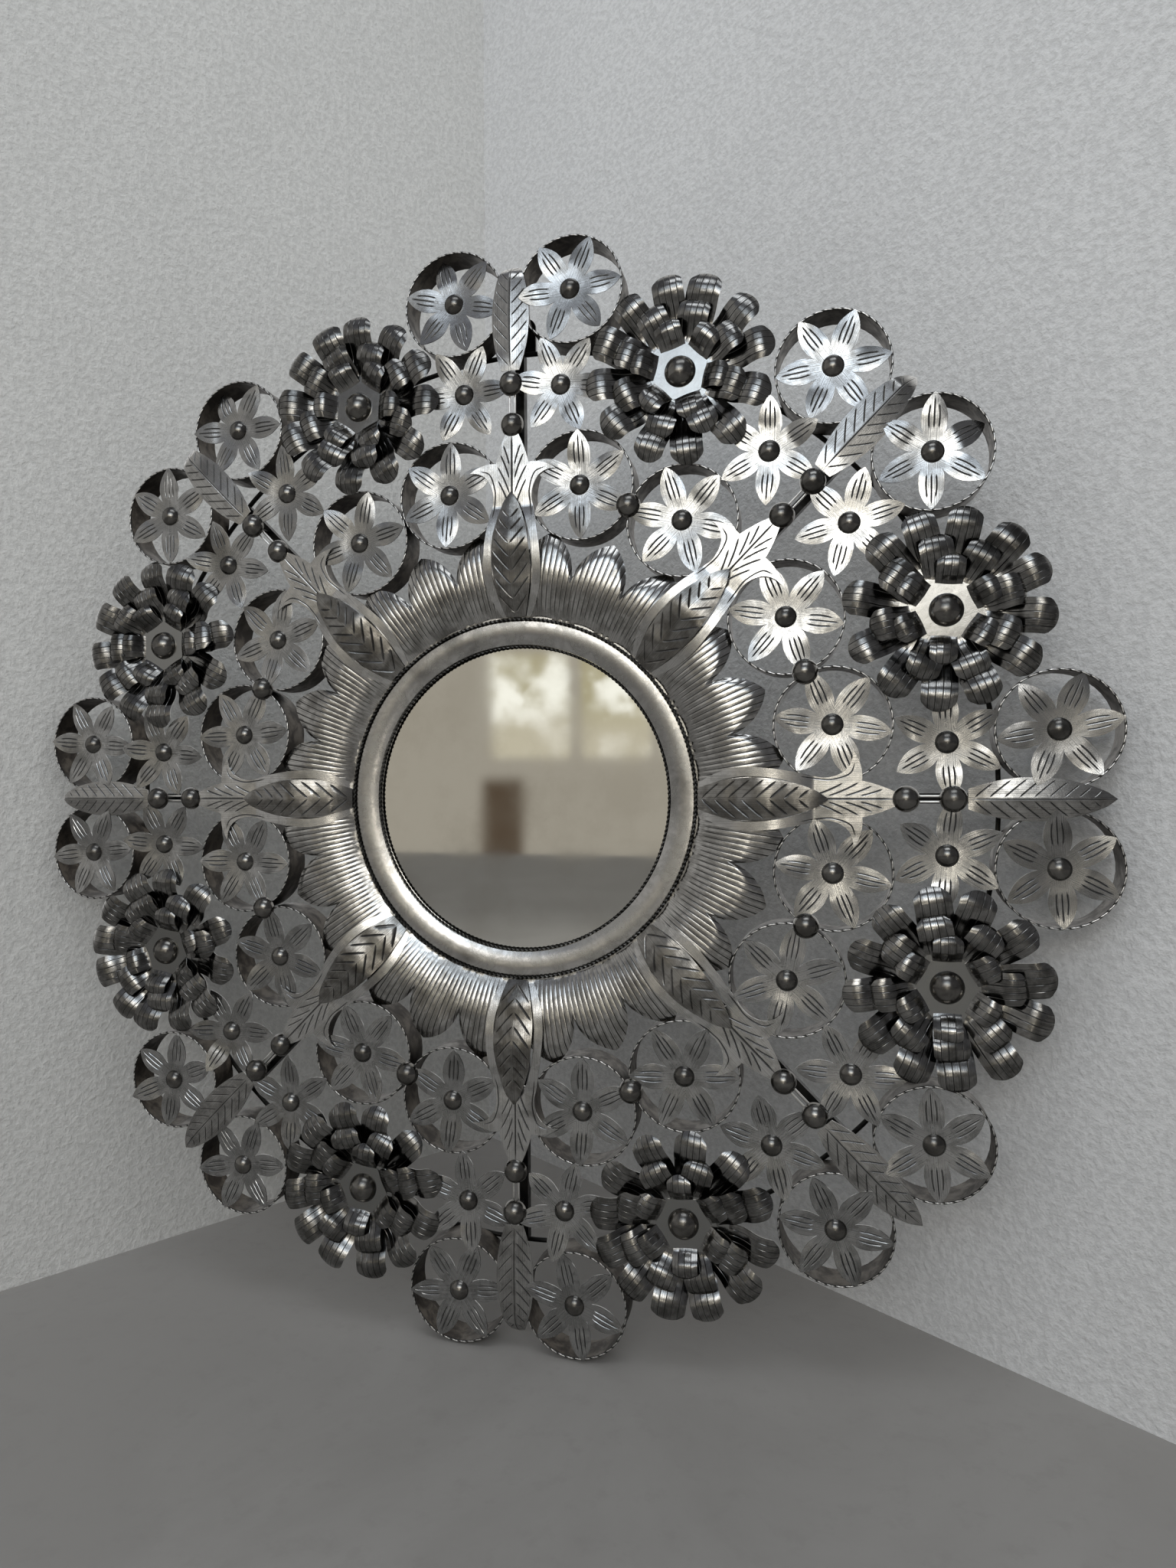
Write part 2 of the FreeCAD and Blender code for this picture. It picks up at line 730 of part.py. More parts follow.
def nodes():
    inner = (inner_ring_x, inner_ring_z)
    outer = (outer_ring_x, outer_ring_z)
    made = {}
    made.update(numbered("spoke_bar", spoke_bars()))
    made["outer_hoop"] = [outer_hoop()]
    made["hanger_plate"] = [hanger_plate()]
    made["carnation_tabs"] = carnation_tabs()
    made["carnation_stems"] = carnation_stems()
    made["ring_ties"] = ring_ties()
    made["mirror_pan"] = [mirror_pan()]
    made["backing_board"] = [disc(glass_radius, pan_sheet, glass_back)]
    made["mirror_glass"] = [disc(glass_radius, glass_back, glass_front)]
    made["bezel_band"] = [bezel_band()]
    made["bezel_inner_cord"] = [cord_ring(inner_cord_circle, inner_cord,
                                          bezel_inner_height - inner_cord / 2)]
    made["bezel_outer_cord"] = [cord_ring(outer_cord_circle, outer_cord,
                                          collar_front + outer_cord / 2)]
    made["petal_collar"] = collar_sheets()
    made.update(numbered("palmette", palmettes()))
    made.update(numbered("inner_leaf", inner_leaves()))
    made.update(numbered("outer_leaf", outer_leaves()))
    made["inner_rings"] = strip_rings(inner_ring_radius, *inner, 0)
    made["outer_rings"] = strip_rings(outer_ring_radius, *outer, outer_ring_back)
    made["inner_ring_ropes"] = rope_rings(inner_ring_radius, *inner, 0)
    made["outer_ring_ropes"] = rope_rings(outer_ring_radius, *outer, outer_ring_back)
    made["inner_stars"] = ringed_stars(inner_star_reach, *inner, inner_star_back, inner_star_turns)
    made["outer_stars"] = ringed_stars(outer_star_reach, *outer, outer_star_back, outer_star_turns)
    made["open_stars"] = open_stars()
    made["star_domes"] = star_domes()
    made.update(carnation_layers())
    carnation_dome = round_dome(carnation_dome_diameter, carnation_dome_height,
                                top_back + tin_sheet)
    made["carnation_domes"] = at_carnations(carnation_dome)
    made["spoke_beads"] = spoke_beads()
    made["bead_posts"] = bead_posts()
    made["spoke_links"] = spoke_links()
    made["junction_beads"] = junction_beads()
    return made


os.makedirs("parts", exist_ok=True)
for node, shapes in nodes().items():
    export(node, shapes)
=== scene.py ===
import math

import bpy
import numpy as np
from mathutils import Matrix, Vector
from mathutils.geometry import delaunay_2d_cdt

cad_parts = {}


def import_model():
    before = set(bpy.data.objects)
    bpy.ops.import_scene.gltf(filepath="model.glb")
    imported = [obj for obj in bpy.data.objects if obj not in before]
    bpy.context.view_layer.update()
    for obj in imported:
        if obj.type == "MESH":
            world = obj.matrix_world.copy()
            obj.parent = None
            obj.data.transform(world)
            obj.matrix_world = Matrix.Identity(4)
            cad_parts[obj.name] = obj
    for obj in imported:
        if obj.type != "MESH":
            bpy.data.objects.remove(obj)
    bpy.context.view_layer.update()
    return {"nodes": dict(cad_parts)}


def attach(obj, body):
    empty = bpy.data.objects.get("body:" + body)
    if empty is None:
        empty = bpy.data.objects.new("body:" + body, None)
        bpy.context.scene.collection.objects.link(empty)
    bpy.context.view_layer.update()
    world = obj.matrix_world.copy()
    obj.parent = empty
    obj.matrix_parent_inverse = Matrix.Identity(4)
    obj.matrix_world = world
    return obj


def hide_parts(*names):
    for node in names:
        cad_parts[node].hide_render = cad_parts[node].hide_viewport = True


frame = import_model()

# Lengths are in millimetres until a mesh is made. A place is given as x to the viewer's right,
# z up and h, the height in front of the wall. A clock is an angle in degrees, clockwise from the top.
MM = 0.001
SPOKES = 8
SPOKE_ANGLE = 360.0 / SPOKES
HALF_SPOKE = SPOKE_ANGLE / 2
SIDES = (-1, 1)
PETALS = 6
PETAL_ANGLE = 360.0 / PETALS

TIN = 0.8
LEAF_TIN = 1.0
PALMETTE_TIN = 1.2
ROPE = 2.2
RING_DEPTH = 31.8
FRONT_LIMIT = 46.45

# an edge stays sharp where its faces turn by more than this many degrees
SHARP, SHEET_SHARP, COLLAR_SHARP, ROPE_SHARP = 38.0, 24.0, 20.0, 80.0

INNER_RING = dict(radius=54.4, x=68.35, z=307.50, front=RING_DEPTH, lean=0.0)
OUTER_RING = dict(radius=53.0, x=60.50, z=497.74, front=4.8 + RING_DEPTH, lean=0.0)
OPEN_STAR = dict(x=50.5, z=406.18, front=35.317, lean=3.316)
CARNATION_CIRCLE = 439.62
LEAF_BASE = 182.4

# diameter and height of the domed buttons, and how far the flowers' own sink behind the sheet
STAR_DOME, CARNATION_DOME, BEAD = (21.0, 8.0), (30.0, 11.0), (24.0, 10.0)
DOME_SUNK = 3.0
DOME_SIDES = 36

INNER_STAR_TURNS = [(4, 0), (-16, -20), (-23, -20), (11, 26), (1, 3), (-21, -13), (-28, 26), (12, 14)]
OPEN_STAR_TURNS = [(27, -22), (3, 17), (-3, 4), (31, -15), (13, -8), (-3, 30), (-25, -23), (-19, -2)]
OUTER_STAR_TURNS = [(-17, 24), (24, 3), (21, -4), (-5, -22), (-13, 24), (24, 8), (25, -26), (0, 29)]


def smooth(x, low, high):
    t = np.clip((x - low) / (high - low), 0.0, 1.0)
    return t * t * (3 - 2 * t)


def polar(radius, clock):
    """The place (x, z) at a radius and a clock."""
    a = math.radians(clock)
    return radius * math.sin(a), radius * math.cos(a)


def petal_axes(number):
    """The directions along and across one of a flower's six petals."""
    along = np.array(polar(1.0, number * PETAL_ANGLE))
    return along, np.array([along[1], -along[0]])


def turn_points(points, angle):
    """Points (x, z, h) turned clockwise about the mirror's axis."""
    a = math.radians(angle)
    c, s = math.cos(a), math.sin(a)
    x, z, h = points.T
    return np.column_stack([x * c + z * s, -x * s + z * c, h])


def lean_out(points, clock, angle):
    """Tilts points about their middle, so that they rise towards a clock."""
    towards = points[:, :2] @ np.array(polar(1.0, clock))
    points[:, 2] += towards * math.tan(math.radians(angle))


class Shape:
    """Collects solids of one piece, with marks on each vertex: how deep in a groove (on the twisted cords, painted
    shade away from their front), the sheet's tone (at its top, the painted sheen of carnation plates), and how far
    across the sheet, for marks that run along it."""

    def __init__(self):
        self.points = []
        self.faces = []
        self.marks = {"groove": [], "tone": [], "across": []}
        self.count = 0

    def add(self, points, faces, groove=0.0, tone=0.5, across=0.0):
        for label, data in zip(self.marks, (groove, tone, across)):
            self.marks[label].append(np.broadcast_to(np.asarray(data, float), (len(points),)))
        self.points.append(np.asarray(points, float))
        self.faces.extend(tuple(i + self.count for i in face) for face in faces)
        self.count += len(points)

    def add_sheet(self, points, faces, thickness, groove=0.0, tone=0.5, across=0.0):
        """A sheet whose front is given. Its back is offset along the normals, and its rim closed."""
        n = len(points)
        groove, across = (np.broadcast_to(np.asarray(m, float), (n,)) for m in (groove, across))
        back = points - vertex_normals(points, faces) * thickness
        solid = faces + [tuple(n + i for i in reversed(face)) for face in faces]
        solid += [(b, a, n + a, n + b) for a, b in boundary_edges(faces)]
        self.add(np.vstack([points, back]), solid, np.concatenate([groove, groove * 0]), tone,
                 np.tile(across, 2))

    def build(self, name, material, sharp):
        points = np.vstack(self.points)
        points[:, 2] = np.minimum(points[:, 2], FRONT_LIMIT)
        mesh = bpy.data.meshes.new(name)
        world = np.column_stack([points[:, 0], -points[:, 2], points[:, 1]]) * MM
        mesh.from_pydata(world.tolist(), [], self.faces)
        for label, data in self.marks.items():
            layer = mesh.attributes.new(label, "FLOAT", "POINT")
            layer.data.foreach_set("value", np.concatenate(data).astype(np.float32))
        mesh.validate()
        mesh.update()
        mesh.polygons.foreach_set("use_smooth", [True] * len(mesh.polygons))
        mesh.set_sharp_from_angle(angle=math.radians(sharp))
        mesh.materials.append(material)
        piece = bpy.data.objects.new(name, mesh)
        bpy.context.scene.collection.objects.link(piece)
        return piece


def finish_piece(shape, name, material, node_name, sharp=SHARP):
    piece = shape.build(name, material, sharp)
    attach(piece, "root")
    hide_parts(node_name)


def finish_sheet(kind, number, points, faces, thickness, mark, tone, across, material):
    """Makes the piece of one spoke from a sheet that is drawn along the upper spoke."""
    shape = Shape()
    shape.add_sheet(turn_points(points, number * SPOKE_ANGLE), faces, thickness, mark, tone, across)
    node_name = "%s_%d" % (kind, number + 1)
    finish_piece(shape, node_name + "_chased", material, node_name, SHEET_SHARP)


def vertex_normals(points, faces):
    normals = np.zeros_like(points)
    by_size = {}
    for face in faces:
        by_size.setdefault(len(face), []).append(face)
    for size, group in by_size.items():
        index = np.asarray(group)
        first = points[index[:, 1]] - points[index[:, 0]]
        second = points[index[:, -1]] - points[index[:, 0]]
        if size == 4:
            first = points[index[:, 2]] - points[index[:, 0]]
            second = points[index[:, 3]] - points[index[:, 1]]
        # x, z, h is a right-handed triple for a viewer in front, so this cross product faces them
        cross = np.cross(first, second)
        for corner in range(size):
            np.add.at(normals, index[:, corner], cross)
    length = np.linalg.norm(normals, axis=1)
    length[length == 0] = 1
    return normals / length[:, None]


def boundary_edges(faces):
    seen = {}
    for face in faces:
        for a, b in zip(face, face[1:] + face[:1]):
            if (b, a) in seen:
                del seen[(b, a)]
            else:
                seen[(a, b)] = True
    return list(seen)


def grid_faces(lines, places, around=False, closed=False):
    """Faces between lines of equally many places. The last line may meet the first one, around
    the piece, and each line may be closed."""
    faces = []
    for i in range(lines if around else lines - 1):
        a, b = i * places, (i + 1) % lines * places
        for k in range(places if closed else places - 1):
            m = (k + 1) % places
            faces.append((a + k, a + m, b + m, b + k))
    return faces


# ---------------------------------------------------------------- lines and flat sheets

def resample(points, step):
    points = np.asarray(points, float)
    lengths = np.linalg.norm(np.diff(points, axis=0), axis=1)
    total = lengths.sum()
    count = max(2, int(round(total / step)) + 1)
    at = np.concatenate([[0], np.cumsum(lengths)])
    where = np.linspace(0, total, count)
    return np.column_stack([np.interp(where, at, points[:, 0]), np.interp(where, at, points[:, 1])])


def arc(points, step=2.0):
    """Points along the arc through three points, or along the straight line through two."""
    points = np.asarray(points, float)
    if len(points) == 2:
        return resample(points, step)
    (ax, ay), (bx, by), (cx, cy) = points
    d = 2 * (ax * (by - cy) + bx * (cy - ay) + cx * (ay - by))
    if abs(d) < 1e-6:
        return resample(points[[0, 2]], step)
    a, b, c = ax**2 + ay**2, bx**2 + by**2, cx**2 + cy**2
    ux = (a * (by - cy) + b * (cy - ay) + c * (ay - by)) / d
    uy = (a * (cx - bx) + b * (ax - cx) + c * (bx - ax)) / d
    start = math.atan2(ay - uy, ax - ux)
    middle = (math.atan2(by - uy, bx - ux) - start) % (2 * math.pi)
    end = (math.atan2(cy - uy, cx - ux) - start) % (2 * math.pi)
    if middle > end:
        end -= 2 * math.pi
    radius = math.hypot(ax - ux, ay - uy)
    count = max(3, int(abs(end) * radius / step) + 2)
    angles = start + np.linspace(0, end, count)
    return np.column_stack([ux + radius * np.cos(angles), uy + radius * np.sin(angles)])


def chain(pieces, step):
    """One closed outline from arcs and lines that follow each other."""
    return np.vstack([arc(piece, step)[:-1] for piece in pieces])


def smooth_line(points):
    """A soft line through points, by Catmull and Rom's formula."""
    p = np.asarray(points, float)
    p = np.vstack([2 * p[0] - p[1], p, 2 * p[-1] - p[-2]])
    made = []
    for i in range(1, len(p) - 2):
        for t in np.linspace(0, 1, 8, endpoint=False):
            made.append(0.5 * (2 * p[i] + (p[i + 1] - p[i - 1]) * t
                               + (2 * p[i - 1] - 5 * p[i] + 4 * p[i + 1] - p[i + 2]) * t ** 2
                               + (3 * p[i] - p[i - 1] - 3 * p[i + 1] + p[i + 2]) * t ** 3))
    made.append(p[-2])
    return np.array(made)


def bulging(start, end, bulge, count=60):
    """Heights along an arc whose middle stands off its chord: arrays of radius and height."""
    chord_r, chord_h = end[0] - start[0], end[1] - start[1]
    chord = math.hypot(chord_r, chord_h)
    middle = ((start[0] + end[0]) / 2 - bulge * chord_h / chord,
              (start[1] + end[1]) / 2 + bulge * chord_r / chord)
    return arc([start, middle, end], chord / count).T


def inside(points, outline):
    x, y = points.T
    result = np.zeros(len(points), bool)
    for (ax, ay), (bx, by) in zip(outline, np.roll(outline, -1, axis=0)):
        if ay != by:
            result ^= ((ay > y) != (by > y)) & (x < (bx - ax) * (y - ay) / (by - ay) + ax)
    return result


def distance_to(points, line, closed=False):
    ends = np.roll(line, -1, axis=0) if closed else line[1:]
    starts = line if closed else line[:-1]
    best = np.full(len(points), 1e9)
    for a, b in zip(starts, ends):
        ab = b - a
        t = np.clip(((points - a) @ ab) / max(ab @ ab, 1e-9), 0, 1)
        best = np.minimum(best, np.linalg.norm(points - a - t[:, None] * ab, axis=1))
    return best


def pressed(outline, grooves, spacing, taper):
    """A flat mesh inside an outline, with the lines of V-shaped grooves in it.

    A groove is (points, half width, depth). Returns places, faces and each place's groove depth
    and share of the full depth."""
    places, depth, mark, edges = [outline], [np.zeros(len(outline))], [np.zeros(len(outline))], []
    count = len(outline)

    def level(more):
        places.append(more)
        depth.append(np.zeros(len(more)))
        mark.append(np.zeros(len(more)))

    guard = []
    for line, half, deep in grooves:
        line = resample(line, spacing * 0.9)
        n = len(line)
        along = np.gradient(line, axis=0)
        along /= np.linalg.norm(along, axis=1)[:, None]
        across = np.column_stack([-along[:, 1], along[:, 0]])
        from_end = np.minimum(np.arange(n), np.arange(n)[::-1]) / max(1.0, (n - 1) * taper)
        width = half * np.clip(from_end, 0, 1) ** 0.6
        places.append(line)
        depth.append(deep * width / half)
        mark.append(np.where(width > 0, 1.0, 0.3))
        edges += [(count + i, count + i + 1) for i in range(n - 1)]
        first = count
        count += n
        keep = np.where(width > 0)[0]
        for side in SIDES:
            level(line[keep] + side * across[keep] * width[keep, None])
            ids = [first] + [count + i for i in range(len(keep))] + [first + n - 1]
            edges += list(zip(ids[:-1], ids[1:]))
            count += len(keep)
        guard.append((line, half))
    low, high = outline.min(0), outline.max(0)
    # the ground between the grooves is a grid of equal-sided triangles
    grid = []
    for number, y in enumerate(np.arange(low[1], high[1], spacing * 0.866)):
        xs = np.arange(low[0] + (spacing / 2 if number % 2 else 0), high[0], spacing)
        grid.append(np.column_stack([xs, np.full(len(xs), y)]))
    grid = np.vstack(grid)
    grid = grid[inside(grid, outline)]
    keep = distance_to(grid, outline, True) > spacing * 0.5
    for line, half in guard:
        keep &= distance_to(grid, line) > half + spacing * 0.35
    level(grid[keep])
    places, depth, mark = np.vstack(places), np.concatenate(depth), np.concatenate(mark)
    result = delaunay_2d_cdt([Vector(p) for p in places], edges, [list(range(len(outline)))], 1, 1e-5)
    found = np.array([tuple(p) for p in result[0]])
    faces, origins = result[2], result[3]
    used = sorted({i for face in faces for i in face})
    renumber = {old: new for new, old in enumerate(used)}
    faces = [tuple(renumber[i] for i in face) for face in faces]
    deepest, fullest = (np.array([max((data[i] for i in group), default=0.0) for group in origins])
                        for data in (depth, mark))
    return found[used], faces, deepest[used], fullest[used]


# ---------------------------------------------------------------- materials

class Nodes:
    """The nodes of one material or world while it is put together."""

    def __init__(self, tree):
        self.tree = tree

    def fill(self, made, inputs):
        """Gives a node its inputs, each a value or another node's output."""
        for key, value in inputs.items():
            if isinstance(value, bpy.types.NodeSocket):
                self.tree.links.new(value, made.inputs[key])
            else:
                made.inputs[key].default_value = value

    def outputs(self, kind):
        return self.tree.nodes.new("ShaderNode" + kind).outputs

    def add(self, kind, inputs, output=0, **settings):
        made = self.tree.nodes.new("ShaderNode" + kind)
        for key, value in settings.items():
            setattr(made, key, value)
        self.fill(made, inputs)
        return made.outputs[output]

    def noise(self, place, scale, detail, rough, distortion=0.0):
        return self.add("TexNoise", {"Vector": place, "Scale": scale, "Detail": detail,
                                     "Roughness": rough, "Distortion": distortion}, "Fac")

    def remap(self, value, low, high, to_low=0.0, to_high=1.0):
        return self.add("MapRange", {"Value": value, "From Min": low, "From Max": high,
                                     "To Min": to_low, "To Max": to_high},
                        "Result", interpolation_type="SMOOTHSTEP")

    def band(self, value, low, high, soft):
        """One between low and high, and nought outside, with soft ends."""
        return self.math("MULTIPLY", self.remap(value, low - soft, low + soft),
                         self.remap(value, high - soft, high + soft, 1.0, 0.0))

    def math(self, operation, first, second):
        return self.add("Math", {0: first, 1: second}, operation=operation,
                        use_clamp=operation in ("MULTIPLY", "ADD"))

    def blend(self, factor, first, second):
        first, second = ((*c, 1.0) if isinstance(c, tuple) else c for c in (first, second))
        return self.add("Mix", {"Factor": factor, 6: first, 7: second}, 2, data_type="RGBA")

    def attribute(self, name):
        return self.add("Attribute", {}, "Fac", attribute_name=name, attribute_type="GEOMETRY")

    def bump(self, height, strength, distance, **more):
        return self.add("Bump", {"Height": height, "Strength": strength, "Distance": distance, **more},
                        "Normal")

    def surface(self, inputs):
        self.fill(self.tree.nodes["Principled BSDF"], inputs)


def start_material(name):
    """A new material, its nodes and the place on the object."""
    material = bpy.data.materials.new(name)
    material.use_nodes = True
    nodes = Nodes(material.node_tree)
    return material, nodes, nodes.outputs("TexCoord")["Object"]


def shade(color, share):
    return tuple(c * share for c in color)


def metal(name, dark, mid, bright, rough, pits=0.4, wave=0.06, groove_dark=0.85, marked=True,
          streak=0.0, plate=None):
    """Hand-worked metal sheet: stains, pits, waves, marks along the sheet and dirt in its grooves. On the twisted
    cords the groove mark is painted shade, and a plate colour is a painted sheen.
    """
    material, nodes, place = start_material(name)
    stain = nodes.noise(place, 70.0, 6.0, 0.62, 0.4)
    cloud = nodes.noise(place, 19.6, 3.0, 0.5)
    fleck = nodes.noise(place, 1100.0, 3.0, 0.7)
    cover = nodes.remap(stain, 0.38, 0.62)
    if marked:
        tone = nodes.attribute("tone")
        cover = nodes.math("ADD", cover, nodes.remap(tone, 0.0, 0.9, -0.3, 0.3))
    color = nodes.blend(cover, mid, bright)
    color = nodes.blend(nodes.remap(cloud, 0.56, 0.74, 0.0, 0.5), color, dark)
    color = nodes.blend(nodes.remap(fleck, 0.62, 0.76, 0.0, pits), color, dark)
    roughness = nodes.remap(stain, 0.3, 0.7, rough[1], rough[0])
    if streak:
        lines = nodes.add("TexNoise", {"W": nodes.attribute("across"), "Scale": 1.1, "Detail": 3.0},
                          "Fac", noise_dimensions="1D")
        drawn = nodes.remap(lines, 0.42, 0.62)
        color = nodes.blend(nodes.math("MULTIPLY", drawn, streak), color, dark)
        roughness = nodes.math("ADD", roughness, nodes.math("MULTIPLY", drawn, 0.08))
    # painted sheen: pieces whose tone is near one, the flat carnation plates, get the lighter plate colour
    if plate:
        color = nodes.blend(nodes.remap(tone, 0.94, 0.97), color, plate)
    if marked:
        # dirt in pressed grooves; on the twisted cords this mark is painted shade everywhere but their front ridges
        deep = nodes.attribute("groove")
        color = nodes.blend(nodes.remap(deep, 0.15, 0.85, 0.0, groove_dark), color, shade(dark, 0.4))
        roughness = nodes.math("ADD", roughness, nodes.remap(deep, 0.1, 0.8, 0.0, 0.2))
    wavy = nodes.bump(nodes.noise(place, 95.0, 2.0, 0.5), wave, 0.002)
    nodes.surface({"Base Color": color, "Metallic": 1.0, "Roughness": roughness,
                   "Normal": nodes.bump(fleck, 0.08, 0.0004, Normal=wavy)})
    return material


# each metal's dirt, its stained and its clean colour, and its least and greatest roughness; on the twisted cords
# the dirt colour is also painted shade, and the ring strips' colours are all painted shade
tin_star = metal("pressed_tin", (0.04, 0.038, 0.035), (0.34, 0.34, 0.335), (0.54, 0.54, 0.535),
                 (0.13, 0.27), pits=0.6, streak=0.35)
tin_leaf = metal("pressed_leaf_tin", (0.04, 0.036, 0.031), (0.35, 0.345, 0.335), (0.56, 0.555, 0.54),
                 (0.13, 0.26), streak=0.35)
tin_collar = metal("fluted_collar_tin", (0.03, 0.026, 0.021), (0.36, 0.352, 0.335), (0.60, 0.593, 0.575),
                   (0.11, 0.20), streak=0.35, groove_dark=0.95)
tin_scroll = metal("scrolled_tin", (0.04, 0.036, 0.031), (0.44, 0.435, 0.42), (0.68, 0.675, 0.66),
                   (0.12, 0.24), streak=0.25)
tin_chased = metal("chased_leaf_tin", (0.02, 0.017, 0.014), (0.19, 0.182, 0.168), (0.38, 0.372, 0.355),
                   (0.12, 0.21), streak=0.35)
# its plate colour is a painted sheen on the flat carnation plates
tin_dark = metal("burnished_dark_tin", (0.012, 0.011, 0.010), (0.15, 0.147, 0.14), (0.32, 0.315, 0.305),
                 (0.11, 0.19), streak=0.35, plate=(0.33, 0.33, 0.32))
# the ring strips' near-black colours are painted shade: the colour their faces show in shadow
strip_painted_shade = metal("dark_strip", (0.010, 0.008, 0.006), (0.026, 0.022, 0.019), (0.06, 0.052, 0.043),
                   (0.38, 0.55), marked=False)
# the twisted wire and the bezel cords are near black away from their front ridges: painted shade, with the light
# ridges as wear and a painted highlight
wire_wear_and_painted_light = metal("twisted_wire_wear_and_painted_light", (0.012, 0.011, 0.009), (0.70, 0.69, 0.67), (0.92, 0.91, 0.89),
                  (0.26, 0.38), groove_dark=0.95)
cord_wear_and_painted_light = metal("bezel_cord_wear_and_painted_light", (0.012, 0.011, 0.009), (0.16, 0.155, 0.145), (0.42, 0.41, 0.39),
                  (0.24, 0.36), groove_dark=0.95)
dome_steel = metal("burnished_dome", (0.022, 0.020, 0.018), (0.125, 0.12, 0.112), (0.22, 0.213, 0.20),
                   (0.17, 0.27), wave=0.03)
bezel_steel = metal("brushed_bezel", (0.10, 0.095, 0.088), (0.46, 0.453, 0.435), (0.66, 0.65, 0.635),
                    (0.18, 0.30), pits=0.3)
frame_black = metal("black_painted_steel", (0.006, 0.006, 0.006), (0.016, 0.016, 0.016),
                    (0.03, 0.029, 0.027), (0.38, 0.55), marked=False)
pan_steel = metal("dull_pan_steel", (0.05, 0.045, 0.04), (0.13, 0.125, 0.12), (0.2, 0.195, 0.185),
                  (0.4, 0.55), marked=False)


# ---------------------------------------------------------------- six petalled flowers

def star_flat(reach):
    """The pressed blank of a six petalled flower: outline and three grooves to a petal."""
    waist, shoulder, half = 17.5, 0.638 * reach, 0.422 * reach / 2
    root, apart, groove_half, groove_deep = 20.0, 4.0, 0.85, 0.55
    half_turn, far = math.degrees(math.atan2(half, shoulder)), math.hypot(shoulder, half)
    pieces, grooves = [], []
    for number in range(PETALS):
        clock = number * PETAL_ANGLE
        tip = polar(reach, clock)
        pieces.append([polar(waist, clock - 30), polar(far, clock - half_turn), tip])
        pieces.append([tip, polar(far, clock + half_turn), polar(waist, clock + 30)])
        along, across = petal_axes(number)
        for side, end in ((0, reach - 4.5), (-1, reach - 10.5), (1, reach - 10.0)):
            line = [along * (root + (end - root) * t)
                    + across * (side * (apart + 0.9 * math.sin(math.pi * t) - 0.5 * t))
                    for t in np.linspace(0, 1, 7)]
            grooves.append((line, groove_half, groove_deep))
    return pressed(chain(pieces, 2.4)[::-1], grooves, 3.0, 0.12)


def bend_table(tilt, curl, reach):
    """Where a point of a petal's axis lies after bending: its distance out, its rise and its slope."""
    u = np.linspace(0, reach + 2, 200)
    slope = (math.radians(tilt) * smooth(u, 19, 28)
             + math.radians(curl) * (np.clip((u - 24) / (reach - 24), 0, 1) - 0.5) * 2 * smooth(u, 20, 28))
    slope = slope * smooth(u, 17, 22)
    step = np.diff(u, prepend=0)
    return u, np.cumsum(np.cos(slope) * step), np.cumsum(np.sin(slope) * step), slope


def bent_star(flat, reach, petals):
    """A flower's points (x, z, rise) with each petal bent in its own way."""
    places, faces, depth, mark = flat
    dish = -1.5 * (1 - smooth(np.hypot(places[:, 0], places[:, 1]), 7.0, 33.0))
    clock = np.degrees(np.arctan2(places[:, 0], places[:, 1]))
    number = np.round(clock / PETAL_ANGLE).astype(int) % PETALS
    out = np.zeros((len(places), 3))
    off_axis = np.zeros(len(places))
    for k, petal in enumerate(petals):
        own = number == k
        along, across = petal_axes(k)
        u, v = places[own] @ along, places[own] @ across
        off_axis[own] = np.abs(v)
        table, out_u, out_h, slope = bend_table(petal["tilt"], petal["curl"], reach)
        lean = np.interp(u, table, slope)
        grip = smooth(u, 19, 30)
        lift = -petal["crown"] * (v / 11.0) ** 2 * grip - depth[own]
        twist = math.radians(petal["twist"]) * smooth(u, 20, reach)
        new_u = np.interp(u, table, out_u) - np.sin(lean) * lift
        rise = np.interp(u, table, out_h) + np.cos(lean) * lift + v * np.sin(twist)
        v = v * np.cos(twist) * (1 + (petal["wide"] - 1) * grip)
        v = v + math.radians(petal["swing"]) * grip * (u - 20)
        out[own, :2] = np.outer(new_u, along) + np.outer(v, across)
        out[own, 2] = rise + dish[own]
    return out, faces, mark, off_axis


# how far petals differ, and the petals that are bent much further by hand, by spoke and side
PETAL_RANGES = dict(tilt=(-0.6, 6.0), curl=(-6, 6), twist=(-10, 10), swing=(-2.5, 2.5),
                    wide=(0.96, 1.06), crown=(0.0, 0.8))
BENT_BACK = dict(tilt=-19.0, curl=-3.0, twist=0.0)
RAISED = dict(tilt=14.0, curl=-5.0, twist=0.0)
RESTING = dict(tilt=-0.3, curl=0.0, twist=0.0)
BENT_PETALS = {
    "outer_stars": {(0, 0): {0: BENT_BACK}, (1, 1): {1: BENT_BACK}, (7, 1): {5: BENT_BACK}, (5, 1): {4: RAISED}},
    "open_stars": {(1, 0): {1: RAISED}, (2, 1): {5: RAISED}, (3, 1): {0: RAISED}, (5, 1): {3: RAISED}},
    "inner_stars": {},
}
SCROLL_CLOCK, SCROLL_REACH = 53.0, 42


def petal_set(rng, changes):
    petals = []
    for k in range(PETALS):
        drawn = {key: rng.uniform(*limits) for key, limits in PETAL_RANGES.items()}
        petals.append({**drawn, **changes.get(k, {})})
    return petals


def flower_spots(spot):
    """Each flower of a kind: its spoke, its side of the spoke, its clock and its place."""
    for number in range(SPOKES):
        for side_number, side in enumerate(SIDES):
            clock = number * SPOKE_ANGLE + math.degrees(math.atan2(side * spot["x"], spot["z"]))
            yield number, side_number, clock, polar(math.hypot(spot["x"], spot["z"]), clock)


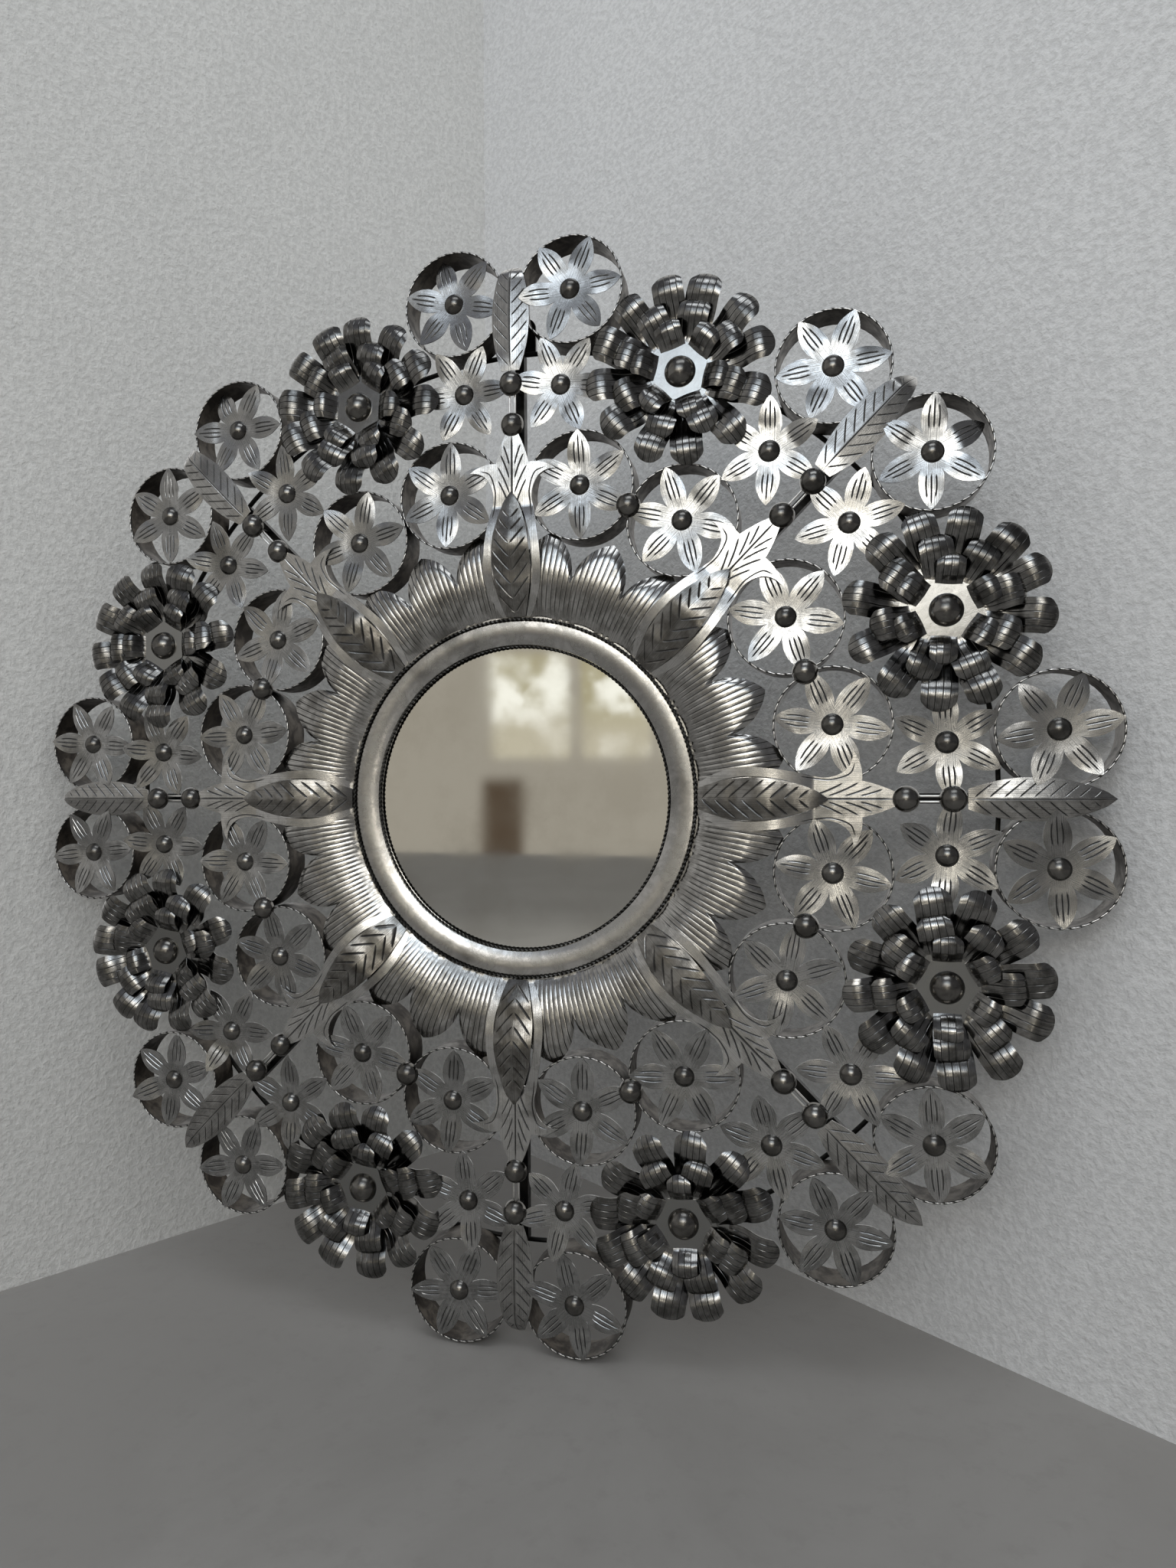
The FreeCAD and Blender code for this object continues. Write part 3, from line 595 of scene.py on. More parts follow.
def star_piece(name, node_name, reach, spot, turns, seed):
    rng = np.random.default_rng(seed)
    flat = star_flat(reach)
    shape = Shape()
    for number, side, clock, centre in flower_spots(spot):
        turn = turns[number][side]
        changes = dict(BENT_PETALS[node_name].get((number, side), {}))
        if node_name == "inner_stars":
            # the petals that a palmette's scroll lies on are flat
            scroll = number * SPOKE_ANGLE - SIDES[side] * SCROLL_CLOCK
            for k in range(PETALS):
                if abs((turn + 60 * k - scroll + 180) % 360 - 180) < SCROLL_REACH:
                    changes[k] = RESTING
        points, faces, mark, off_axis = bent_star(flat, reach, petal_set(rng, changes))
        points = turn_points(points, turn)
        lean_out(points, clock, spot["lean"])
        points += np.array([*centre, spot["front"] + TIN])
        shape.add_sheet(points, faces, TIN, mark, rng.uniform(0.15, 0.85), off_axis + 40 * rng.random())
    finish_piece(shape, name, tin_star, node_name, SHEET_SHARP)


star_piece("inner_star_flowers", "inner_stars", 53.3, INNER_RING, INNER_STAR_TURNS, 11)
star_piece("open_star_flowers", "open_stars", 50.0, OPEN_STAR, OPEN_STAR_TURNS, 12)
star_piece("outer_star_flowers", "outer_stars", 51.9, OUTER_RING, OUTER_STAR_TURNS, 13)


# ---------------------------------------------------------------- domes and twisted cords

def dome_profile(diameter, height):
    """A button's radii and heights from its rim towards its top, fuller than a cap of a ball."""
    half = diameter / 2
    ball = (half ** 2 + height ** 2) / (2 * height)
    angles = np.linspace(math.acos((ball - height) / ball), 0.0, 11)
    rise = ball * np.cos(angles) - (ball - height)
    radius = ball * np.sin(angles) + 0.35 * np.sin(np.pi * rise / height)
    profile = np.column_stack([radius, rise])[:-1]
    profile[0] = half, 0.0
    return profile


def add_dome(shape, size, back, centre, tone, clock=0.0, lean=0.0):
    radius, rise = dome_profile(*size).T
    n = len(radius)
    points = [np.column_stack([radius * math.sin(a), radius * math.cos(a), rise])
              for a in np.linspace(0, 2 * math.pi, DOME_SIDES, endpoint=False)]
    points = np.vstack(points + [[[0, 0, size[1]], [0, 0, 0]]])
    faces = grid_faces(DOME_SIDES, n, around=True)
    top = DOME_SIDES * n
    for i in range(DOME_SIDES):
        j = (i + 1) % DOME_SIDES
        faces += [(i * n + n - 1, top, j * n + n - 1), (j * n, top + 1, i * n)]
    lean_out(points, clock, lean)
    shape.add(points + np.array([*centre, back]), faces, 0.0, tone)


def peanut(long, short):
    """A cord's section: two strands, side by side."""
    angles = np.arange(8) / 8 * 2 * math.pi
    radius = (long + short) / 2 + (long - short) / 2 * np.cos(2 * angles)
    return np.column_stack([radius * np.cos(angles), radius * np.sin(angles)])


def ring_along(shape, circle, centre, height, section, turns, per_turn, tone):
    """A twisted cord bent into a ring: the section turns as it goes round. Its frontmost ridges keep the light
    colour, as wear and as a painted highlight; the rest is marked dark, as painted shade.
    """
    n, count = len(section), turns * per_turn
    steps = np.arange(count) / count
    spin, go = steps * turns * 2 * math.pi, steps * 2 * math.pi
    points = np.zeros((count * n, 3))
    for k, (sx, sy) in enumerate(section):
        radius = circle + (sx * np.cos(spin) - sy * np.sin(spin))
        points[k::n, 0] = centre[0] + radius * np.sin(go)
        points[k::n, 1] = centre[1] + radius * np.cos(go)
        points[k::n, 2] = height + (sx * np.sin(spin) + sy * np.cos(spin))
    front = (points[:, 2] - height) / np.hypot(section[:, 0], section[:, 1]).max()
    # the groove mark here is painted shade on all of the cord but its front ridges, which stay light as wear and a
    # painted highlight
    shape.add(points, grid_faces(count, n, around=True, closed=True), 1 - smooth(front, 0.62, 0.84), tone)


def domes_and_cords():
    rng = np.random.default_rng(21)
    domes = Shape()
    for spot in (INNER_RING, OUTER_RING, OPEN_STAR):
        for _, _, clock, centre in flower_spots(spot):
            add_dome(domes, STAR_DOME, spot["front"] + TIN - DOME_SUNK, centre, rng.uniform(0.2, 0.8),
                     clock, spot["lean"])
    finish_piece(domes, "star_dome_buttons", dome_steel, "star_domes")
    for label, spot in (("inner_ring", INNER_RING), ("outer_ring", OUTER_RING)):
        shape = Shape()
        for _, _, _, centre in flower_spots(spot):
            ring_along(shape, spot["radius"] - ROPE / 2, centre, spot["front"] - ROPE / 2,
                       peanut(ROPE / 2, 0.78), 19, 14, rng.uniform(0.2, 0.9))
        finish_piece(shape, label + "_twisted_wire", wire_wear_and_painted_light, label + "_ropes", ROPE_SHARP)
    for label, circle, height, size, turns in (("bezel_inner", 153.6, 17.2, 3.2, 104),
                                               ("bezel_outer", 180.2, 23.6, 4.0, 122)):
        shape = Shape()
        ring_along(shape, circle, (0, 0), height, peanut(size / 2, size * 0.27), turns, 10, 0.4)
        finish_piece(shape, label + "_twist", cord_wear_and_painted_light, label + "_cord", ROPE_SHARP)


domes_and_cords()


# ---------------------------------------------------------------- collar

COLLAR_HALF = 21.4      # half of the angle that a sheet of three petals takes up
COLLAR_PETAL = 14.0
COLLAR_ROOT = 176.5
COLLAR_ROWS = 26
FLUTES = 32
FLUTE_DEPTH = 0.22


def collar_petal(theta):
    """Which of a sheet's three petals an angle is on, and the angle of that petal's middle."""
    petal = min(2, max(0, int((theta + 1.5 * COLLAR_PETAL) // COLLAR_PETAL)))
    return petal, (petal - 1) * COLLAR_PETAL


def collar_limit(theta, valley, widest, reach):
    """How far out the sheet's scalloped edge lies at an angle."""
    middle = collar_petal(theta)[1]
    side = 1 if theta >= middle else -1
    foot = middle + side * COLLAR_PETAL / 2
    if abs(foot) > COLLAR_PETAL:
        foot = side * COLLAR_HALF
    edge = arc([polar(valley, foot), polar(widest, middle + side * 5.2), polar(reach, middle)], 1.0)
    clocks = np.degrees(np.arctan2(edge[:, 0], edge[:, 1]))
    order = np.argsort(clocks)
    return np.interp(theta, clocks[order], np.hypot(edge[:, 0], edge[:, 1])[order])


def collar():
    rng = np.random.default_rng(31)
    back, front_tip, reach = 20.8, 28.4, 267.0
    path_r, path_h = bulging((184.0, back), (reach + TIN, front_tip), 9.5)
    path_r, path_h = np.concatenate([[170, 184], path_r]), np.concatenate([[back, back], path_h])
    pitch = 2 * COLLAR_HALF / (FLUTES - 1)
    columns = []
    for k in range(FLUTES):
        c = -COLLAR_HALF + k * pitch
        for shift, m in ((-0.20, 0.0), (0.0, 1.0), (0.20, 0.0), (0.5 * pitch, 0.0)):
            if -COLLAR_HALF <= c + shift <= COLLAR_HALF:
                columns.append((c + shift, m, collar_limit(c + shift, 222.0, 246.0, reach)))
    share = np.linspace(0, 1, COLLAR_ROWS)
    faces = [(a, d, c, b) for a, b, c, d in grid_faces(len(columns), COLLAR_ROWS)]
    across = np.repeat([theta for theta, _, _ in columns], COLLAR_ROWS) * 3.6 + 200
    shape = Shape()
    for sheet in range(SPOKES):
        points, mark = [], []
        wave_phase = rng.uniform(0, 6.28, 3)
        lift = rng.uniform(-2.2, 1.6, 3)
        swing = rng.uniform(0.7, 1.5, 3)
        for theta, groove, limit in columns:
            petal, middle = collar_petal(theta)
            radius = COLLAR_ROOT + (limit - COLLAR_ROOT) * share
            flute = groove * smooth(radius, 184, 196)
            h = np.interp(radius, path_r, path_h) + TIN - 2.6 * smooth(share, 0.82, 1.0) ** 1.4
            h = h + smooth(radius, 215, 265) * (lift[petal] - 1.6 * ((theta - middle) / (COLLAR_PETAL / 2)) ** 2
                                                + swing[petal] * np.sin(radius / 8 + wave_phase[petal]))
            x, z = polar(1.0, theta)
            points.append(np.column_stack([radius * x, radius * z, h - FLUTE_DEPTH * flute]))
            mark.append(flute)
        points = turn_points(np.vstack(points), HALF_SPOKE + sheet * SPOKE_ANGLE)
        shape.add_sheet(points, faces, TIN, np.concatenate(mark), rng.uniform(0.3, 0.7), across)
    finish_piece(shape, "collar_fluted_petals", tin_collar, "petal_collar", COLLAR_SHARP)


collar()


# ---------------------------------------------------------------- leaves

def chevrons(base, length, outline, first, spacing, rise, half, deep, inner):
    """Slanting veins on both sides of a leaf, from near its midrib to near its edge."""
    slant, margin, tip = 0.85, 1.3, 14
    right = outline[outline[:, 0] >= 0]
    order = np.argsort(right[:, 1])
    edge_z, edge_x = right[order, 1], right[order, 0]
    grooves = []
    for u in np.arange(first, length - tip, spacing):
        for side in SIDES:
            reach = 0.0
            for t in np.linspace(0.05, 1, 60):
                if np.interp(base + (u + t * rise), edge_z, edge_x) - margin < t * rise * slant + inner:
                    break
                reach = t
            if reach > 0.15:
                start = (side * inner, base + u)
                end = (side * (inner + reach * rise * slant), base + (u + reach * rise))
                middle = ((start[0] + end[0]) / 2, (start[1] + end[1]) / 2 - 0.5)
                grooves.append((arc([start, middle, end]), half * 0.9, deep * 0.9))
    return grooves


def leaf_outline(base, length, widths, shares):
    foot, half, end = (w / 2 for w in widths)
    widest, shoulder = (base + s * length for s in shares)
    tip = (0.0, base + length)
    return chain([
        [(-foot, base), (foot, base)],
        [(foot, base), (half, widest), (end, shoulder)],
        [(end, shoulder), tip],
        [tip, (-end, shoulder)],
        [(-end, shoulder), (-half, widest), (-foot, base)],
    ], 2.2)


def inner_leaves():
    rng = np.random.default_rng(41)
    base, length = LEAF_BASE, 122.0
    outline = leaf_outline(base, length, (20.0, 40.0, 15.0), (0.42, 0.91))
    grooves = chevrons(base, length, outline, 4.0, 13.0, 21.0, 1.4, 0.8, 0.35)
    places, faces, depth, mark = pressed(outline, grooves, 3.2, 0.15)
    x, z = places.T
    along = (z - base) / length
    curve = np.interp(z, *bulging((base, 24.2), (base + length, 36.9), 13.0)) + LEAF_TIN
    for number in range(SPOKES):
        ridge = rng.uniform(0.0, 0.04)
        h = curve - 1.3 * (x / 20.0) ** 2 * smooth(along, 0, 0.2) - depth
        h = h - np.abs(x) * ridge * smooth(along, 0.05, 0.3) + rng.uniform(-0.03, 0.03) * x
        h = h + 1.2 * np.sin((z - base) / 8.4 + rng.uniform(-0.7, 0.7)) * smooth(along, 0.1, 0.3)
        finish_sheet("inner_leaf", number, np.column_stack([x, z, h]), faces, LEAF_TIN, mark * 0.8,
                     rng.uniform(0.3, 0.7), x + 40, tin_chased)


# how many degrees each outer leaf's tip is bent back
TIP_BENDS = [80, 45, 0, 0, 50, 0, 0, 60]


def outer_leaves():
    rng = np.random.default_rng(42)
    base, length, half, deep = 423.4, 121.6, 0.9, 0.6
    outline = leaf_outline(base, length, (18.0, 38.0, 12.0), (0.50, 0.93))
    midrib = ([(0.0, base + 2.0), (0.0, base + length - 3.0)], half, deep)
    grooves = [midrib] + chevrons(base, length, outline, 5.0, 12.0, 20.0, half, deep, half + 0.45)
    places, faces, depth, mark = pressed(outline, grooves, 3.0, 0.12)
    x, z = places.T
    along = (z - base) / length
    bend = base + length - 22.0
    r1, h1 = bulging((base, 38.2), (bend, 37.55), 2.6)
    r2, h2 = bulging((bend, 37.55), (base + length, 28.55), 0.8)
    curve = np.interp(z, np.concatenate([r1, r2[1:]]), np.concatenate([h1, h2[1:]])) + LEAF_TIN
    start = base + 0.74 * length
    beyond = np.clip(z - start, 0, None)
    for number in range(SPOKES):
        ridge = rng.uniform(0.10, 0.2) * smooth(along, 0.0, 0.25)
        h = curve - np.abs(x) * ridge - depth + rng.uniform(-0.06, 0.06) * x * smooth(along, 0.1, 1)
        points = np.column_stack([x, z, h])
        if TIP_BENDS[number]:
            radius = (base + length - start) / math.radians(TIP_BENDS[number])
            points[:, 1] = np.minimum(z, start) + radius * np.sin(beyond / radius)
            points[:, 2] -= radius * (1 - np.cos(beyond / radius))
        finish_sheet("outer_leaf", number, points, faces, LEAF_TIN, mark, rng.uniform(0.3, 0.8), x + 40,
                     tin_leaf)


inner_leaves()
outer_leaves()


# ---------------------------------------------------------------- palmettes

# places are shares of half the palmette's width and of its length
PALMETTE_HALF, PALMETTE_LENGTH = 44.5, 182.0
PALMETTE_OUTLINE = [
    [(0.135, 0.000), (0.330, 0.000)],
    [(0.330, 0.000), (0.620, 0.159), (0.665, 0.308)],
    [(0.665, 0.308), (0.605, 0.440), (0.470, 0.600)],
    [(0.470, 0.600), (0.445, 0.665), (0.590, 0.751)],
    [(0.590, 0.751), (0.770, 0.780), (1.000, 0.786)],
    [(1.000, 0.786), (0.700, 0.824), (0.375, 0.831)],
    [(0.375, 0.831), (0.300, 0.897), (0.125, 1.000)],
    [(0.125, 1.000), (0.000, 1.000)],
]
PALMETTE_FORK = [
    [(0.000, 0.533), (0.240, 0.572)],
    [(0.240, 0.572), (0.415, 0.429), (0.472, 0.297)],
    [(0.472, 0.297), (0.425, 0.154), (0.135, 0.000)],
]
SCROLL_GROOVE = [(0.465, 0.53), (0.415, 0.61), (0.40, 0.685), (0.52, 0.772), (0.76, 0.798)]
# each pair of veins in the feather: where it starts, how far out it goes and how far it rises
FEATHER_VEINS = ((0.585, 0.27, 0.155), (0.665, 0.28, 0.150), (0.745, 0.21, 0.135), (0.82, 0.14, 0.11))


def palmette_line(points, side):
    return [(side * x * PALMETTE_HALF, LEAF_BASE + z * PALMETTE_LENGTH) for x, z in points]


def palmettes():
    rng = np.random.default_rng(43)
    # round the outside on the right, back down on the left, then up and down inside the fork
    rounds = []
    for pieces, order in ((PALMETTE_OUTLINE, SIDES[::-1]), (PALMETTE_FORK, SIDES)):
        for side in order:
            if side > 0:
                rounds += [palmette_line(piece, 1) for piece in pieces]
            else:
                rounds += [palmette_line(piece, -1)[::-1] for piece in reversed(pieces)]
    grooves = [(smooth_line(palmette_line(SCROLL_GROOVE, side)), 0.8, 0.55) for side in SIDES]
    grooves.append((palmette_line([(0.0, 0.56), (0.0, 0.985)], 1), 1.1, 0.9))
    for z, reach, rise in FEATHER_VEINS:
        for side in SIDES:
            vein = [(0.06, z), (0.06 + reach * 0.42, z + rise * 0.5), (0.06 + reach, z + rise)]
            grooves.append((arc(palmette_line(vein, side)), 0.95, 0.65))
    places, faces, depth, mark = pressed(chain(rounds, 2.0), grooves, 2.4, 0.12)
    x, z = places.T
    path_r, path_h = bulging((184.0, 22.0), (290.4, 32.6), 10.5)
    curve = np.interp(z, path_r, path_h) + PALMETTE_TIN - depth
    feather = smooth(z, LEAF_BASE + 0.55 * PALMETTE_LENGTH, LEAF_BASE + 0.7 * PALMETTE_LENGTH)
    wide = np.abs(x)
    for number in range(SPOKES):
        h = curve + feather * rng.uniform(0.01, 0.04) * np.clip(8.0 - wide, -8.0, 8.0)
        h = h + 1.5 * smooth(z, 285, 312) + rng.uniform(0.3, 1.2) * smooth(wide, 32.0, 44.5) * feather
        h = h + rng.uniform(-0.03, 0.03) * x * feather
        finish_sheet("palmette", number, np.column_stack([x, z, h]), faces, PALMETTE_TIN, mark,
                     rng.uniform(0.6, 0.9), x + 60, tin_scroll)


palmettes()


# ---------------------------------------------------------------- carnations

BACK_ANGLES = [
    [-7, 19, 52, 80, 111, 142, 173, 202, 234, 264, 293, 322],
    [-18, 10, 42, 68, 97, 126, 157, 186, 216, 247, 280, 314],
    [-10, 18, 52, 80, 110, 143, 174, 204, 234, 263, 290, 320],
    [-24, 6, 38, 68, 100, 130, 161, 191, 218, 248, 274, 303],
    [-12, 15, 48, 78, 110, 139, 171, 204, 234, 263, 290, 319],
    [-23, 3, 39, 71, 101, 134, 161, 194, 216, 250, 279, 306],
    [-7, 21, 50, 83, 116, 145, 180, 206, 235, 264, 295, 324],
    [-22, 4, 36, 64, 93, 128, 155, 186, 218, 247, 275, 305],
]
MIDDLE_ANGLES = [
    [-27, 17, 61, 113, 157, 200, 247, 293],
    [-11, 33, 75, 115, 157, 202, 256, 307],
    [-11, 35, 87, 137, 176, 219, 262, 308],
    [-29, 15, 65, 117, 162, 202, 241, 285],
    [-18, 27, 76, 122, 168, 217, 265, 307],
    [-23, 25, 78, 132, 181, 232, 283, 325],
    [-17, 29, 81, 139, 185, 231, 270, 306],
    [-24, 21, 62, 114, 169, 208, 252, 301],
]
TOP_ANGLES = [[turn + k * 60 for k in range(PETALS)] for turn in (-16, 5, 0, -4, 8, 10, 30, 35)]
BACK_PATH = [(40, 31.9), (50, 32.6), (58, 35.6), (65, 41.0), (72, 44.5), (79.5, 45.0), (86.5, 42.6), (91.5, 38.6)]
MIDDLE_PATH = [(28, 32.7), (34, 33.6), (40, 37.6), (46, 42.9), (52.5, 45.1), (59, 44.6), (64.5, 41.6), (67.4, 38.2)]
TOP_PATH = [(22.8, 33.5), (26.0, 35.6), (29.8, 40.4), (35.0, 44.3), (41.0, 45.1), (46.2, 43.4), (49.6, 40.2)]
# each sheet: its petals' angles by flower, their path (distance out and height), half width, grooves,
# share of width at the root and unevenness, then the radius and the height of its plate
CARNATION_SHEETS = {
    "back": (BACK_ANGLES, BACK_PATH, 15.8, 4, 0.86, 1.5, 44.0, 31.917),
    "middle": (MIDDLE_ANGLES, MIDDLE_PATH, 15.2, 4, 0.86, 1.5, 33.0, 32.717),
    "top": (TOP_ANGLES, TOP_PATH, 12.6, 3, 0.95, 0.0, 27.0, 33.517),
}
CARNATION_FRONT = 33.517
CARNATION_ROWS = 22
CARNATION_CROWN = 1.5
# the tone that gives carnation plates their painted sheen
PLATE_SHEEN_TONE = 1.0


def petal_columns(lines):
    """Shares of the half width at which a petal's columns lie, and which of them are grooves."""
    columns = [(-1.0, 0), (-0.93, 0)]
    step, groove_half = 2.0 / (lines + 1), 0.03
    for k in range(lines):
        c = -1 + step * (k + 1)
        columns += [(c - groove_half, 0), (c, 1), (c + groove_half, 0)]
        if k < lines - 1:
            columns.append((c + step / 2, 0))
    return columns + [(0.93, 0), (1.0, 0)]


def carnation_petal(shape, centre, clock, path, half, lines, root, turn, lift, tone, offset):
    """A barrel-stave petal: it follows a path outwards, and is crowned across with pressed lines."""
    line = smooth_line(path)
    walked = np.concatenate([[0], np.cumsum(np.linalg.norm(np.diff(line, axis=0), axis=1))])
    columns = petal_columns(lines)
    twist = math.radians(turn)

    def along(s):
        return np.column_stack([np.interp(s, walked, line[:, i]) for i in (0, 1)])

    made, groove = [], []
    for c, m in columns:
        # the sides are shorter than the middle, which rounds the petal's end
        s = np.linspace(0, 1, CARNATION_ROWS) * (walked[-1] - half * 0.86 * (1 - math.sqrt(1 - 0.97 * c * c)))
        spine, ahead = along(s), along(s + 0.6) - along(s - 0.6)
        ahead /= np.linalg.norm(ahead, axis=1)[:, None]
        t = s / walked[-1]
        grip = smooth(t, 0.0, 0.3)
        v = c * half * (root + (1 - root) * np.sin(np.clip(t / 0.5, 0, 1) * math.pi / 2))
        v = v * (1 - 0.07 * smooth(t, 0.75, 1.0))
        sag = -CARNATION_CROWN * c * c * (0.25 + 0.75 * grip) - 0.26 * m * smooth(t, 0.03, 0.15)
        u = spine[:, 0] - ahead[:, 1] * sag
        h = spine[:, 1] + ahead[:, 0] * sag + lift * t + v * math.sin(twist) * grip
        made.append(np.column_stack([v * np.cos(twist * grip), u, h]))
        groove.append(m * smooth(t, 0.0, 0.1))
    points = turn_points(np.stack(made, axis=1).reshape(-1, 3), clock) + np.array([*centre, 0.0])
    across = np.tile([c * half for c, _ in columns], CARNATION_ROWS) + offset
    shape.add_sheet(points, grid_faces(CARNATION_ROWS, len(columns)), TIN,
                    np.stack(groove, axis=1).reshape(-1), tone, across)


def plate(shape, centre, radius, clocks, height):
    """The flat middle of a carnation sheet, with a corner between each two petals. Its tone gives it a lighter
    colour as a painted sheen.
    """
    rings, per_side = 5, 4
    clocks = sorted(c % 360 for c in clocks)
    corners = [np.array(polar(radius, (a + b) / 2)) for a, b in zip(clocks, clocks[1:] + [clocks[0] + 360])]
    outline = np.array([a + (b - a) * s / per_side for a, b in zip(corners, corners[1:] + corners[:1])
                        for s in range(per_side)])
    m = len(outline)
    flat = np.vstack([np.zeros((1, 2))] + [outline * r / rings for r in range(1, rings + 1)])
    faces = []
    for i in range(m):
        j = (i + 1) % m
        faces.append((0, 1 + j, 1 + i))
        faces += [(a + i, a + j, a + m + j, a + m + i) for a in range(1, 1 + (rings - 1) * m, m)]
    points = np.column_stack([flat + np.array(centre), np.full(len(flat), height)])
    shape.add_sheet(points, faces, TIN, 0.0, PLATE_SHEEN_TONE)


def carnations():
    rng = np.random.default_rng(51)
    layers = {label: Shape() for label in CARNATION_SHEETS}
    domes = Shape()
    for number in range(SPOKES):
        centre = polar(CARNATION_CIRCLE, HALF_SPOKE + number * SPOKE_ANGLE)
        base = rng.uniform(0.3, 0.6)
        for label, (angles, path, half, lines, root, jitter, radius, height) in CARNATION_SHEETS.items():
            for clock in angles[number]:
                stretch = rng.uniform(0.985, 1.01)
                own = [(path[0][0] + (r - path[0][0]) * stretch, h) for r, h in path]
                carnation_petal(layers[label], centre, clock + rng.uniform(-jitter, jitter), own,
                                half * rng.uniform(0.92, 1.04), lines, root, rng.uniform(-8, 8),
                                rng.uniform(-0.9, 0.4), base + rng.uniform(-0.25, 0.25), 400 * rng.random())
            plate(layers[label], centre, radius, angles[number], height)
        add_dome(domes, CARNATION_DOME, CARNATION_FRONT, centre, rng.uniform(0.3, 0.7))
    for label, shape in layers.items():
        finish_piece(shape, "carnation_%s_curled" % label, tin_dark, "carnation_%s_petals" % label,
                     SHEET_SHARP)
    finish_piece(domes, "carnation_dome_buttons", dome_steel, "carnation_domes")


carnations()


# ---------------------------------------------------------------- beads

LOST_BEAD = 7


def beads():
    rng = np.random.default_rng(61)
    spoke, junction = Shape(), Shape()
    for number in range(SPOKES):
        clock = number * SPOKE_ANGLE
        add_dome(spoke, BEAD, 33.8, polar(371.6, clock), rng.uniform(0.2, 0.7))
        add_dome(spoke, BEAD, 36.57, polar(411.4, clock), rng.uniform(0.2, 0.7), clock, OPEN_STAR["lean"])
        if number != LOST_BEAD:
            add_dome(junction, BEAD, 32.6, polar(306.7, clock + HALF_SPOKE), rng.uniform(0.2, 0.7))
    finish_piece(spoke, "spoke_bead_buttons", dome_steel, "spoke_beads")
    finish_piece(junction, "junction_bead_buttons", dome_steel, "junction_beads")


beads()


# ---------------------------------------------------------------- kept nodes

def glass_material():
    material, nodes, place = start_material("silvered_glass")
    cloud = nodes.noise(place, 14.0, 5.0, 0.6)
    spots = nodes.noise(place, 160.0, 4.0, 0.7)
    color = nodes.blend(nodes.remap(cloud, 0.4, 0.7), (0.88, 0.87, 0.82), (0.80, 0.785, 0.73))
    color = nodes.blend(nodes.remap(spots, 0.70, 0.78, 0.0, 0.5), color, (0.3, 0.28, 0.24))
    nodes.surface({"Base Color": color, "Metallic": 1.0,
                   "Roughness": nodes.remap(cloud, 0.3, 0.8, 0.03, 0.075)})
    return material


def board_material():
    material, nodes, place = start_material("backing_board")
    stretched = nodes.add("Mapping", {"Vector": place, "Scale": (1.0, 1.0, 14.0)})
    rings = nodes.noise(stretched, 9.0, 6.0, 0.6, 1.2)
    color = nodes.blend(nodes.remap(rings, 0.35, 0.65), (0.30, 0.20, 0.12), (0.45, 0.33, 0.21))
    nodes.surface({"Base Color": color, "Roughness": 0.7})
    return material


BLACK_FRAME = ("spoke_bar", "outer_hoop", "hanger", "carnation_tabs", "carnation_stems", "ring_ties", "bead_posts")
KEPT = {
    "mirror_glass": glass_material(), "backing_board": board_material(), "mirror_pan": pan_steel,
    "bezel_band": bezel_steel, "inner_rings": strip_painted_shade, "outer_rings": strip_painted_shade,
    "spoke_links": wire_wear_and_painted_light,
}
for name, obj in frame["nodes"].items():
    material = frame_black if name.startswith(BLACK_FRAME) else KEPT.get(name)
    if material and not obj.hide_render:
        obj.data.materials.clear()
        obj.data.materials.append(material)


# ---------------------------------------------------------------- room, in metres

FLOOR = -0.5525
ROOM_LENGTH = 6.0
WALL_TOP = Vector((0.0, 0.0, 5.0))
CORNER = Vector((-0.2288166, 0.5025678, FLOOR))
# the way that each wall runs from the corner, and its colour
WALLS = {"left_wall": ((-0.543, -0.840), (0.80, 0.797, 0.78)),
         "right_wall": ((0.8415, -0.540), (0.80, 0.803, 0.81))}


def plain_sheet(name, corners, material):
    mesh = bpy.data.meshes.new(name)
    mesh.from_pydata(corners, [], [(0, 1, 2, 3)])
    mesh.materials.append(material)
    obj = bpy.data.objects.new(name, mesh)
    bpy.context.scene.collection.objects.link(obj)


def plaster(name, color):
    """Rough pale plaster that is solid from inside the room and clear from behind."""
    material, nodes, place = start_material(name)
    cloud = nodes.noise(place, 1.6, 5.0, 0.6)
    grains = nodes.noise(place, 150.0, 4.0, 0.6)
    mixed = nodes.blend(nodes.remap(cloud, 0.35, 0.65), color, shade(color, 0.94))
    mixed = nodes.blend(nodes.remap(grains, 0.40, 0.60, 0.40, 0.0), mixed, shade(color, 0.70))
    nodes.surface({"Base Color": mixed, "Roughness": 0.9, "Specular IOR Level": 0.2,
                   "Normal": nodes.bump(grains, 0.8, 0.003)})
    front = nodes.math("SUBTRACT", 1.0, nodes.outputs("NewGeometry")["Backfacing"])
    rays = nodes.outputs("LightPath")
    seen = nodes.math("ADD", rays["Is Camera Ray"], rays["Is Diffuse Ray"])
    seen = nodes.math("ADD", seen, rays["Is Transmission Ray"])
    tree = material.node_tree
    mix = nodes.add("MixShader", {0: nodes.math("MULTIPLY", seen, front),
                                  1: nodes.outputs("BsdfTransparent")[0],
                                  2: tree.nodes["Principled BSDF"].outputs[0]})
    nodes.fill(tree.nodes["Material Output"], {"Surface": mix})
    return material


